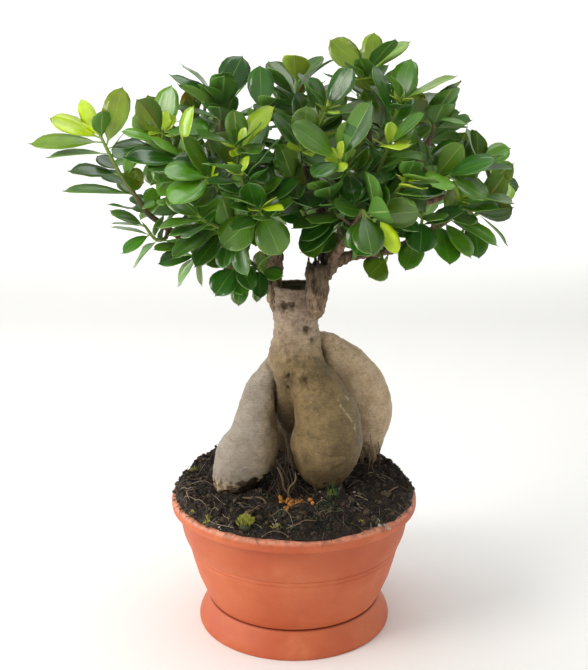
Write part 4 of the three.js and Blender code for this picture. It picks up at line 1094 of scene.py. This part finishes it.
def marked(spot, start, end, width):
    """How strongly a line drawn on the front, in x and z, marks a spot: 1 on it and less beside it."""
    run_x, run_z = end[0] - start[0], end[1] - start[1]
    share = ((spot.x - start[0]) * run_x + (spot.z - start[1]) * run_z) / (run_x ** 2 + run_z ** 2)
    share = clamp(share)
    return bell(math.hypot(spot.x - start[0] - share * run_x, spot.z - start[1] - share * run_z), width)


bm = bmesh.new()
for root_rows in ROOTSTOCK.values():
    sweep(bm, root_rows, 44, 40)
bm = fused(bm, "rootstock_draft", 1.1, 3)
layers = {key: bm.verts.layers.float.new(key) for key in ("olive", "pale", "rough", "soil_stain_and_shade", "scar_and_glint", "sawn")}
bm.verts.ensure_lookup_table()
points = np.array([vert.co for vert in bm.verts])
near = {key: nearness(points, root_rows) for key, root_rows in ROOTSTOCK.items()}
for n, vert in enumerate(bm.verts):
    spot = vert.co.copy()
    share = {key: math.exp(-6 * (near[key][n] - 1)) for key in near}
    whole = sum(share.values())
    front, left, neck, back = (share[key] / whole for key in ("front", "left", "neck", "back"))
    crease = creased(share, spot.z)
    pit, callus = pitted(spot)
    scratch_and_glint, wrinkle = 0, 0
    if spot.y < 0 and front + neck > 0.4:
        scratch_and_glint = sum(marked(spot, *line, SCRATCH_AND_GLINT_WIDTH) for line in SCRATCHES_AND_GLINTS)
        wrinkle = max(marked(spot, *line, WRINKLE_WIDTH) for line in WRINKLES)

    # Relief: broad swells, creases, the rugged neck, the crumbly foot, and knobs
    high = clamp((spot.z - 205) / 30)
    low = clamp((134 - spot.z) / 12)
    ridge = noise.noise(Vector((spot.x / 7, spot.y / 7, spot.z / 2.6)))
    lift = 1.1 * noise.noise(spot / 16) + 0.5 * noise.noise(spot / 5) - 1.4 * crease - 1.1 * wrinkle
    lift += high * (0.8 * ridge + 0.7 * noise.noise(spot / 3)) + 0.9 * low * noise.noise(spot / 3)
    lift += 0.35 * front * noise.noise(Vector((spot.x / 4, spot.y / 4, spot.z / 2.4)))
    lift += sum(rise * bell((spot - Vector(middle)).length, reach) for middle, reach, rise in KNOBS)
    cut = spot.z > CUT_HEIGHT and vert.normal.z > 0.6
    if cut:
        lip = clamp((spot.xy - CUT_MIDDLE).length / ROOTSTOCK["neck"][0][3] * 4 - 3)
        vert.co.z = spot.z - 1.2 + 3 * lip + 0.8 * noise.noise(spot / 4)
    else:
        vert.co = spot + vert.normal * (lift + callus - pit)

    # Darkening: soil at the foot, blotches on the left root, the front root's foot and the neck's top, and
    # painted shade in the creases, wrinkles and pits, low on the neck, in the cavity and on the left root's
    # right side
    # Painted shade on the left root's right side, turned away from the window: darker, browner and less pale
    shaded_right_side = clamp(vert.normal.x * 1.6 - 0.2)
    bank = SOIL_LINE + 10 * left * clamp((spot.x + 56) / 34)
    bank += 9 * noise.noise(spot / 6) + 5 * noise.noise(spot / 2.5)
    soil = clamp((bank - spot.z) / 4)
    blotch = left * clamp((136 - spot.z) / 8) * clamp(6 * noise.noise(spot / 3.2) - 0.3)
    # The front root darker towards its foot, and painted shade on the lower neck, which runs down behind the
    # roots
    under = 0.38 * front * clamp((154 - spot.z) / 26) + 0.5 * neck * clamp((222 - spot.z) / 46)
    # The neck a little darker, more so near its cut top, and painted shade on the left root's right side
    upper = neck * (0.1 + 0.16 * clamp((spot.z - 262) / 10)) + 0.22 * left * shaded_right_side
    # Painted shade on the back root, low down and on its side that faces the cavity between the roots
    cavity_shade = 0.3 * clamp((212 - spot.z) / 40) + 0.55 * clamp(-2 * vert.normal.y) * clamp((205 - spot.z) / 20)
    tones = {
        "olive": (front * clamp((236 - spot.z) / 16) + 0.9 * neck * clamp((250 - spot.z) / 24)
                  + 0.8 * left * shaded_right_side),
        "pale": clamp(left * 1.2 - 0.1) * (1 - 0.85 * shaded_right_side) * clamp((spot.z - 124) / 10),
        "rough": neck * clamp((spot.z - 222) / 30),
        # Pale marks: scratches, and painted glints on the front root's shoulder
        "scar_and_glint": 0.85 * clamp(scratch_and_glint) * clamp(0.55 + 2 * noise.noise(spot / 1.3)),
        "sawn": 1 - lip if cut else 0,
        # Painted shade in creases, wrinkles and pits, whose dark cores are partly knot colour, with the real
        # soil and blotches
        "soil_stain_and_shade": (0.68 * clamp(pit - 0.3) + 0.15 * wrinkle + 0.85 * crease + 0.85 * soil + 0.8 * blotch
                 + under + upper + back * cavity_shade),
    }
    for key, tone in tones.items():
        vert[layers[key]] = clamp(tone)
root_faces = BVHTree.FromBMesh(bm)
make_piece("swollen_rootstock", bm, [bark], "bark", "rootstock")

# Scions: woody branches with scaly bark. The stub beside the right one is torn off in splinters, by x, y,
# height and girth of each.
SPLINTERS = ((11, -12, 305, 2.0), (13.5, -14, 301, 1.8), (18.5, -14, 310, 2.4), (21.5, -12, 304, 1.8),
             (11, -7, 308, 2.0), (16, -4, 305, 2.0), (15, -10, 303, 2.0))
SPLINTER_REACH = 2
STUB_TOP = 293
for scion_name, branches in SCIONS.items():
    has_stub = scion_name == "scion_right"
    bm = bmesh.new()
    for branch_rows in branches.values():
        sweep(bm, branch_rows, 22, 12)
    for x, y, top, girth in (SPLINTERS if has_stub else ()):
        sweep(bm, [[x, y, 288, girth], [x, y, 296, girth * 0.9], [x + 0.6, y, top, 0.7]], 6, 7)
    bm = fused(bm, scion_name + "_draft", 0.8, 1)
    layers = {key: bm.verts.layers.float.new(key) for key in ("slim", "graft", "torn")}
    for vert in bm.verts:
        spot = vert.co.copy()
        thick = clamp((330 - spot.z) / 30)
        lift = (0.3 + 1.3 * thick) * noise.noise(Vector((spot.x / 3, spot.y / 3, spot.z / 6)))
        lift += 0.5 * thick * noise.noise(spot / 1.6)
        on_top = has_stub * clamp((26 - spot.x) / 3) * clamp((vert.normal.z - 0.5) * 4)
        if on_top and min(math.hypot(spot.x - x, spot.y - y) for x, y, _, _ in SPLINTERS) > SPLINTER_REACH:
            lift -= on_top * clamp((spot.z - STUB_TOP) / 3) * 4.5
        vert.co = spot + vert.normal * lift
        vert[layers["slim"]] = clamp((spot.z - 300) / 22)
        vert[layers["graft"]] = clamp((281 + 6 * noise.noise(spot / 5) - spot.z) / 10)
        vert[layers["torn"]] = 0.8 * has_stub * clamp((spot.z - STUB_TOP + 2) / 8) * clamp((27 - spot.x) / 4)
    make_piece("branches_of_" + scion_name, bm, [scion_bark], "young_bark", scion_name)

# Leaves: a grid as long as the leaf, whose rows and columns are bent to each leaf's own form
LEAF_COLUMNS = (0, 0.08, 0.14, 0.25, 0.4, 0.56, 0.71, 0.84, 0.94, 1)
LEAF_ROWS = 4
STALK_SHARE = 0.12
STALK_HALF = 0.5
TIP_HALF = 0.25
BLADE_THICK = 0.45
# Leaves near the crown's middle, at this x and over this spread, are painted darker by this share, as shade
# deep in the crown
HEART_X = 15
HEART_SPREAD = 58
HEART_SHADE = 0.68


def half_width(share):
    """The leaf's half width at a share of its length, as a share of its greatest: wedge foot, blunt tip."""
    widest = 0.56
    t = (share - STALK_SHARE) / (1 - STALK_SHARE)
    if t <= 0:
        return 0
    if t < widest:
        return math.sin(math.pi / 2 * t / widest) ** 0.9
    return (1 - ((t - widest) / (1 - widest)) ** 2.2) ** 0.55


def leafy():
    """A bmesh with what leaves and twigs carry: their map, tones, and the number of the leaf."""
    bm = bmesh.new()
    for key in ("young", "tone", "age"):
        bm.verts.layers.float.new(key)
    bm.faces.layers.int.new("number")
    bm.loops.layers.uv.new("blade")
    return bm


template = leafy()
bmesh.ops.create_grid(template, x_segments=len(LEAF_COLUMNS) - 1, y_segments=LEAF_ROWS, size=1)
for vert in template.verts:
    column = round((vert.co.x + 1) / 2 * (len(LEAF_COLUMNS) - 1))
    vert.co = (LEAF_COLUMNS[column], vert.co.y, 0)
blade_uv = template.loops.layers.uv["blade"]
for face in template.faces:
    for loop in face.loops:
        loop[blade_uv].uv = (loop.vert.co.x, loop.vert.co.y / 2 + 0.5)
grid = np.array([vert.co for vert in template.verts])
leaf_grid = bpy.data.meshes.new("leaf grid")
template.to_mesh(leaf_grid)
template.free()
outline_at = np.array([half_width(x) for x in grid[:, 0]])
least_half = np.where(grid[:, 0] > 0.5, TIP_HALF, STALK_HALF)


def add_leaf(bm, leaf, number, look, young):
    """One leaf: a grid bent to its outline, arch and fold. look is a draw that sets what varies."""
    start = len(bm.verts)
    first_face = len(bm.faces)
    bm.from_mesh(leaf_grid)
    bm.verts.ensure_lookup_table()
    bm.faces.ensure_lookup_table()
    u, v = grid[:, 0], grid[:, 1]
    fold = 0.05 + 0.2 * next(look)
    curl = 0.12 * (next(look) - 0.5)
    wave, phase = 0.035 * next(look), 6.3 * next(look)
    half = np.maximum(outline_at * leaf["width"] / 2, least_half)
    reach = u * (1 - 0.02 * np.abs(v) ** 2 * (u > 0.9)) + 0.035 * (u == 1) * (v == 0)
    rise = (-ARCH * u * u + curl * u ** 4) * leaf["length"] + fold * np.abs(v) ** 1.5 * half
    rise = rise + wave * leaf["length"] * np.sin(9 * u + phase) * np.abs(v) ** 2 * outline_at
    side = cross(leaf["run"], leaf["face"])
    out = (leaf["base"] + np.outer(reach * leaf["length"], leaf["run"])
           + np.outer(-v * half, side) + np.outer(rise, leaf["face"]))
    # Painted shade: a leaf near the crown's middle takes a darker tone
    tone = next(look) * (1 - HEART_SHADE * bell(leaf["base"][0] - HEART_X, HEART_SPREAD))
    tone_layer, young_layer = bm.verts.layers.float["tone"], bm.verts.layers.float["young"]
    for vert, place in zip(bm.verts[start:], out):
        vert.co = place
        vert[tone_layer] = tone
        vert[young_layer] = young
    number_layer = bm.faces.layers.int["number"]
    for face in bm.faces[first_face:]:
        face[number_layer] = number + 1


def add_wood(bm, twig):
    """A twig's own wood, brown at its foot, with a green bud at its tip."""
    age = bm.verts.layers.float["age"]
    foot, tip = Vector(twig["rows"][0][:3]), Vector(twig["rows"][-1][:3])
    for vert in sweep(bm, twig["rows"], 14, 7):
        vert[age] = clamp(1.15 - (vert.co - foot).length / (0.75 * (tip - foot).length))
    run = Vector(heading(twig["rows"], 1))
    stand = Matrix.Translation(tip + run * 1.8) @ run.to_track_quat("Z", "Y").to_matrix().to_4x4()
    bmesh.ops.create_cone(bm, cap_ends=True, segments=7, radius1=1.0, radius2=0.12, depth=5.2, matrix=stand)
    number_layer = bm.faces.layers.int["number"]
    for face in bm.faces:
        if face[number_layer] == 0:
            face.material_index = 2


# Young leaves, by twig and by their order on it: 1 is a fresh lime leaf. Any other has 0.1 at most.
YOUNG = {
    "left_tip": {0: 0.3, 1: 1, 2: 1, 3: 0.32}, "left_wing": {5: 0.5}, "left_face": {5: 0.45},
    "left_heart": {0: 0.25}, "front_left": {0: 0.1, 1: 0.08, 2: 0.9}, "middle_face": {1: 0.35},
    "crown_top": {0: 0.3, 1: 0.35, 2: 0.25, 4: 0.6}, "crown_right": {6: 0.3}, "crown_heart": {5: 0.8},
    "front_right_high": {3: 0.8}, "front_right": {1: 1}, "right_low": {5: 0.4}, "middle_top": {6: 0.5},
    "round_leaf": {0: 0.15},
}
LOOK_SEED = 977
LOOK_STEP = 31
for order, twig in enumerate(grown):
    bm = leafy()
    number_layer = bm.faces.layers.int["number"]
    look = dice(LOOK_SEED + LOOK_STEP * order)
    for k, leaf in enumerate(twig["grown"]):
        young = YOUNG.get(twig["name"], {}).get(k, leaf.get("young"))
        add_leaf(bm, leaf, k, look, 0.1 * next(look) if young is None else young)
    bmesh.ops.solidify(bm, geom=bm.faces[:], thickness=BLADE_THICK)
    bmesh.ops.recalc_face_normals(bm, faces=bm.faces)
    bm.normal_update()
    faces_up = [Vector(leaf["face"]) for leaf in twig["grown"]]
    for face in bm.faces:
        face.material_index = 0 if face.normal.dot(faces_up[face[number_layer] - 1]) > 0 else 1
    add_wood(bm, twig)
    make_piece("leaves_" + twig["name"], bm, [leaf_top, leaf_back, twig_skin], "leaf", "twig_" + twig["name"])


# What lies loose on the peat: each spot is found by looking straight down on it
def ground(x, y):
    """The spot on the peat or the bowl's rim below a point, or None off the bowl or inside a root."""
    above = Vector((x, y, BOWL_TOP + 30))
    hits = [faces.ray_cast(above, Vector((0, 0, -1)))[0] for faces in (peat_faces, bowl_faces)]
    hits = [hit for hit in hits if hit]
    if not hits:
        return None
    spot = max(hits, key=lambda hit: hit.z)
    near_spot, outward = root_faces.find_nearest(spot)[:2]
    return None if (spot - near_spot).dot(outward) < 0.4 else spot


def anywhere(draw, reach):
    """A point within a circle."""
    radius = reach * math.sqrt(next(draw))
    angle = 2 * math.pi * next(draw)
    return radius * math.cos(angle), radius * math.sin(angle)


def strewn(draw, patches):
    """Spots on the ground in patches of x, y, spread and count, each with what else its patch says."""
    for x, y, spread, count, *more in patches:
        for _ in range(count):
            off_x, off_y = anywhere(draw, spread)
            yield ground(x + off_x, y + off_y), *more


def paint(bm, verts, shade):
    """Gives points their tone."""
    tone_layer = bm.verts.layers.float["tone"]
    for vert in verts:
        vert[tone_layer] = shade


def add_crumb(bm, spot, size, draw, shade):
    """A flat sided crumb, stretched and turned at random."""
    made = bmesh.ops.create_icosphere(bm, subdivisions=1, radius=size)["verts"]
    stretch = Matrix.Diagonal((0.6 + 0.8 * next(draw), 0.6 + 0.6 * next(draw), 0.5 + 0.5 * next(draw), 1))
    way = Vector((next(draw) - 0.5, next(draw) - 0.5, next(draw) - 0.5))
    turned = Matrix.Rotation(6.3 * next(draw), 4, way)
    bmesh.ops.transform(bm, matrix=Matrix.Translation(spot) @ turned @ stretch, verts=made)
    paint(bm, made, shade)


def loose():
    """A bmesh for small loose things, with their tone."""
    bm = bmesh.new()
    bm.verts.layers.float.new("tone")
    return bm


class Heap:
    """Gathers small things batch by batch, since each step on a large bmesh takes long."""
    BATCH_POINTS = 1500

    def __init__(self):
        self.whole = loose()
        self.batch = loose()

    def open(self):
        """The bmesh to add the next thing to."""
        if len(self.batch.verts) > self.BATCH_POINTS:
            self.store()
        return self.batch

    def store(self):
        held = bpy.data.meshes.new("batch")
        self.batch.to_mesh(held)
        self.batch.free()
        self.whole.from_mesh(held)
        self.batch = loose()

    def add_strand(self, points, girths, steps, sides, shade):
        """A thin tube through points, in one tone."""
        bm = self.open()
        rows = [[*point, girth] for point, girth in zip(points, girths)]
        paint(bm, sweep(bm, rows, steps, sides), shade)

    def close(self):
        """The whole heap."""
        self.store()
        return self.whole


SEEDS = {"crumbs": 5501, "fibres": 7717, "roots": 6203, "moss": 8111, "strands": 9301, "granules": 4421,
         "chips": 3109}

# Crumbs and clods, by how many and their least and greatest size. They reach the rim at its sides alone.
draw = dice(SEEDS["crumbs"])
for name, count, smallest, largest in (("peat_crumbs", 2600, 0.5, 1.7), ("peat_clods", 420, 1.4, 3.4)):
    heap = Heap()
    for _ in range(count):
        x, y = anywhere(draw, RIM_RADIUS - 0.3)
        reach = RIM_RADIUS - 3.5 + max(0, abs(x) - 60) / 12
        spot = ground(x, y) if math.hypot(x, y) < reach else None
        size = smallest + (largest - smallest) * next(draw) ** 3
        shade = 0.05 + 0.3 * next(draw) + (0.4 if next(draw) < 0.05 else 0)
        if spot:
            add_crumb(heap.open(), spot + Vector((0, 0, 0.25 * size)), size, draw, shade)
    make_piece(name, heap.close(), [loose_peat], "peat", smooth=False)

# Coir fibres, which lie on the peat in shallow arches or hang over the rim
FIBRES = 380
FIBRE_PARTS = 4
HANGING_FIBRES = 26
draw = dice(SEEDS["fibres"])
heap = Heap()
for _ in range(FIBRES):
    x, y = anywhere(draw, RIM_RADIUS - 3)
    way = 2 * math.pi * next(draw)
    bend = 0.09 * (next(draw) - 0.5)
    stride = (6 + 24 * next(draw) ** 2) / FIBRE_PARTS
    arch = 0.4 + 3.2 * next(draw) ** 3
    girth = 0.11 + 0.14 * next(draw)
    shade = next(draw) ** 2.6
    path = []
    for k in range(FIBRE_PARTS + 1):
        spot = ground(x, y)
        if spot is None:
            break
        path.append(spot + Vector((0, 0, 0.4 + arch * math.sin(math.pi * k / FIBRE_PARTS))))
        x, y = x + stride * math.cos(way), y + stride * math.sin(way)
        way += bend * stride
    if len(path) > 2:
        heap.add_strand(path, [girth] * len(path), 3 * (len(path) - 1), 5, shade)
for _ in range(HANGING_FIBRES):
    angle = 2 * math.pi * next(draw)
    out = Vector((math.cos(angle), math.sin(angle), 0))
    drift = out.cross(Vector((0, 0, 1))) * (10 * (next(draw) - 0.5))
    drop = 0.4 + 3.5 * next(draw) ** 3
    path = [out * 93 - drift, out * 97.5, out * 100.3 + drift * 0.5, out * 100.9 + drift]
    for spot, z in zip(path, (114.5, 111.4, 109.5, 108.5 - drop)):
        spot.z += z
    heap.add_strand(path, (0.2, 0.2, 0.18, 0.1), 9, 5, 0.5 * next(draw) ** 3)
make_piece("coir_fibres", heap.close(), [coir], "peat")

# Fine feeding roots: stray ones, by their tone and rows of x, y, z and girth
STRAY_ROOTS = (
    (0.3, [[-40, -41, 120, 0.8], [-33, -44, 121, 0.9], [-27, -45, 122, 0.8], [-22, -49, 120, 0.75],
           [-21, -53, 113, 0.5]]),
    (0.9, [[66, 36, 152, 1.5], [68, 35, 144, 1.3], [67, 34, 134, 1.2], [69, 33, 124, 1.3],
           [67.5, 33, 116, 0.8]]),
    (0.3, [[58, 30, 150, 1.0], [54, 27, 140, 1.2], [58, 24, 130, 0.9], [55, 22, 116, 0.6]]),
    (0.35, [[62, 34, 146, 1.2], [59, 30, 136, 1.1], [64, 27, 127, 1.0], [62, 24, 116, 0.6]]),
    (0.2, [[50, 28, 154, 0.8], [48, 24, 146, 0.9], [53, 22, 136, 0.8], [50, 20, 116, 0.6]]),
    (0.25, [[-13, -34, 143, 0.7], [-9, -38, 135, 0.9], [-8, -37, 127, 0.8], [-3, -41, 121, 0.7],
            [-5, -42, 116, 0.5]]),
    (0.3, [[1, -36, 139, 0.6], [1, -38, 133, 0.7], [-4, -40, 127, 0.7], [-4, -42, 117, 0.5]]),
    (0.3, [[-3, -52, 117, 0.5], [2, -55, 119, 0.6], [8, -51, 119, 0.55], [14, -49, 117, 0.4]]),
    (0.5, [[-41, -70, 117, 0.4], [-36, -70, 120, 0.45], [-30, -64, 121, 0.4], [-27, -58, 121, 0.35],
           [-23, -56, 118, 0.3]]),
    (0.4, [[-5, -87, 115.5, 0.4], [2, -86, 118, 0.45], [8, -82, 119.5, 0.4], [14, -81, 119, 0.35],
           [17, -77, 117, 0.3]]),
    (0.8, [[-82, -38, 117, 0.4], [-85, -30, 121, 0.45], [-79, -22, 119, 0.4]]),
    (0.6, [[72, -30, 118, 0.4], [80, -24, 121, 0.4], [84, -14, 118, 0.3]]),
)
TANGLED_ROOTS = 46
RIGHT_ROOTS = 18
PEAT_LEVEL = 116
draw = dice(SEEDS["roots"])
heap = Heap()
for shade, rows in STRAY_ROOTS:
    heap.add_strand([row[:3] for row in rows], [row[3] for row in rows], 16, 8, shade)
# A tangle between the front and left roots, its dark tones partly the roots' own brown and partly painted
# shade of the cavity
for _ in range(TANGLED_ROOTS):
    top = Vector((-15 + 12 * next(draw), -22 - 12 * next(draw), 124 + 34 * next(draw) ** 1.8))
    end = Vector((top.x - 8 + 18 * next(draw), top.y - 10 * next(draw), PEAT_LEVEL))
    middle = (top + end) / 2 + Vector((11 * (next(draw) - 0.5), -4 * next(draw), 9 * (next(draw) - 0.5)))
    knee = (middle + end) / 2 + Vector((10 * (next(draw) - 0.5), -3 * next(draw), 5 * (next(draw) - 0.5)))
    girth = 0.16 + 0.34 * next(draw) ** 2
    shade = 0.3 * next(draw) ** 2
    heap.add_strand((top, middle, knee, end), (girth, girth * 0.9, girth * 0.8, girth * 0.6), 12, 6, shade)
# Some below the right root
for _ in range(RIGHT_ROOTS):
    top = Vector((50 + 22 * next(draw), 22 + 16 * next(draw), 128 + 24 * next(draw)))
    end = Vector((top.x + 8 * (next(draw) - 0.5), top.y - 8 * next(draw), PEAT_LEVEL))
    middle = (top + end) / 2 + Vector((9 * (next(draw) - 0.5), 3 * (next(draw) - 0.5), 0))
    girth = 0.2 + 0.4 * next(draw) ** 2
    shade = 0.2 + 0.6 * next(draw)
    heap.add_strand((top, middle, end), (girth, girth * 0.9, girth * 0.6), 10, 6, shade)
make_piece("feeding_roots", heap.close(), [rootlet_skin], "bark")

# Moss: cushions of small pointed shoots, by x, y, size of the cushion and how many shoots
MOSSES = ((-36, -82, 6.4, 420), (-66, -68, 3, 40), (-79, -52, 2.5, 24), (-14, -84, 4, 24), (30, -38, 4, 30),
          (52, -74, 3, 12), (-30, 86, 6, 200), (70, 60, 5, 120), (-84, 20, 4, 40))
CUSHION_SHOOTS = 100
CUSHION_DOME = 0.85
draw = dice(SEEDS["moss"])
heap = Heap()
for x, y, size, count in MOSSES:
    middle = ground(x, y)
    is_cushion = count > CUSHION_SHOOTS
    if is_cushion:
        bm = heap.open()
        made = bmesh.ops.create_icosphere(bm, subdivisions=3, radius=size)["verts"]
        press = Matrix.Diagonal((0.7, 0.7, 0.8 * CUSHION_DOME, 1))
        bmesh.ops.transform(bm, matrix=Matrix.Translation(middle) @ press, verts=made)
    for _ in range(count):
        off_x, off_y = anywhere(draw, size)
        ragged_edge = 0.82 + 0.5 * noise.noise(Vector((off_x / 3, off_y / 3, x)))
        off_x, off_y = off_x * ragged_edge, off_y * ragged_edge
        lean_x, lean_y = off_x + 2.5 * (next(draw) - 0.5), off_y + 2.5 * (next(draw) - 0.5)
        lean = Vector((lean_x, lean_y, size * (0.7 + 0.5 * next(draw))))
        tall = (1.8 + 3.2 * next(draw)) * min(1, size / 5)
        shade = 0.35 + 0.65 * next(draw)
        spot = ground(x + off_x, y + off_y)
        if is_cushion:
            spread = min(1, math.hypot(off_x, off_y) / size)
            dome = CUSHION_DOME * size * math.sqrt(1 - spread ** 2)
            dome *= 0.85 + 0.5 * noise.noise(Vector((off_x, off_y, x)) / 2)
            spot = Vector((x + off_x, y + off_y, middle.z + dome))
        if spot is None:
            continue
        bm = heap.open()
        stand = lean.to_track_quat("Z", "Y").to_matrix().to_4x4()
        stand = Matrix.Translation(spot + lean.normalized() * 0.3 * tall) @ stand
        made = bmesh.ops.create_cone(
            bm, cap_ends=True, segments=5, radius1=0.45, radius2=0.06, depth=tall, matrix=stand)["verts"]
        tone_layer = bm.verts.layers.float["tone"]
        for vert in made:
            vert[tone_layer] = shade * (1 if (vert.co - spot).dot(lean) > 0 else 0.35)
make_piece("moss_cushions", heap.close(), [moss_green], "leaf", smooth=False)

# Green and teal strands of liverwort and young grass, by x, y, spread and count, and how tall they grow
STRANDS = ((30, -41, 6, 26, 12), (18, -76, 9, 30, 3), (-4, -80, 6, 16, 2.5), (26, -58, 9, 60, 4),
           (-10, -66, 6, 12, 3), (-22, -44, 3, 8, 3))
draw = dice(SEEDS["strands"])
heap = Heap()
for spot, tall in strewn(draw, STRANDS):
    rise = tall * (0.3 + 0.9 * next(draw))
    lean_x, lean_y = 6 * (next(draw) - 0.5), -3 * next(draw)
    shade = next(draw)
    if spot:
        tip = spot + Vector((lean_x, lean_y, rise))
        middle = (spot + tip) / 2 + Vector((0.3 * lean_x, 0, 0.25 * rise))
        heap.add_strand((spot, middle, tip), (0.2, 0.16, 0.05), 6, 5, shade)
make_piece("green_strands", heap.close(), [strand_green], "leaf")

# Plant food: orange granules, fresh and spent, in a handful beside the front root, by x, y, spread and count
GRANULES = ((-5, -46, 6, 16), (1, -49, 5, 9), (-9, -41, 4, 5), (-7, -65, 3, 4), (12, -50, 4, 3))
draw = dice(SEEDS["granules"])
bm = loose()
for (spot,) in strewn(draw, GRANULES):
    size = 1.0 + 0.8 * next(draw)
    shade = next(draw) ** 0.6
    if spot:
        made = bmesh.ops.create_icosphere(bm, subdivisions=2, radius=size)["verts"]
        bmesh.ops.translate(bm, vec=spot + Vector((0, 0, 0.6 * size)), verts=made)
        paint(bm, made, shade)
make_piece("food_granules", bm, [granule_resin], "peat")

# Pale chips of bark and perlite, a few of them near the front edge, by x, y, spread and count, and their size
CHIPS = ((68, -69, 5, 6, 1.6), (-52, -78, 6, 4, 0.9), (0, -88, 10, 5, 0.8), (-20, -78, 8, 4, 0.9),
         (0, 0, 94, 30, 0.9))
draw = dice(SEEDS["chips"])
bm = loose()
for spot, size in strewn(draw, CHIPS):
    big = size * (0.5 + 0.8 * next(draw))
    shade = 0.2 + 0.7 * next(draw)
    if spot:
        add_crumb(bm, spot + Vector((0, 0, 0.3 * big)), big, draw, shade)
make_piece("pale_chips", bm, [pale_chip], "peat", smooth=False)

# Floor and backdrop, in metres: one sheet of paper, level under the plant and curved up far behind it
FLOOR_REACH = 7
FLOOR_CELLS = 60
CURVE_START = 4
CURVE = 0.35
bm = bmesh.new()
bmesh.ops.create_grid(bm, x_segments=FLOOR_CELLS, y_segments=FLOOR_CELLS, size=FLOOR_REACH)
for vert in bm.verts:
    far = max(0, vert.co.xy.length - CURVE_START)
    vert.co.z = CURVE * far ** 2
floor_mesh = bpy.data.meshes.new("floor")
bm.to_mesh(floor_mesh)
bm.free()
floor_mesh.materials.append(paper)
floor = bpy.data.objects.new("floor", floor_mesh)
bpy.context.collection.objects.link(floor)
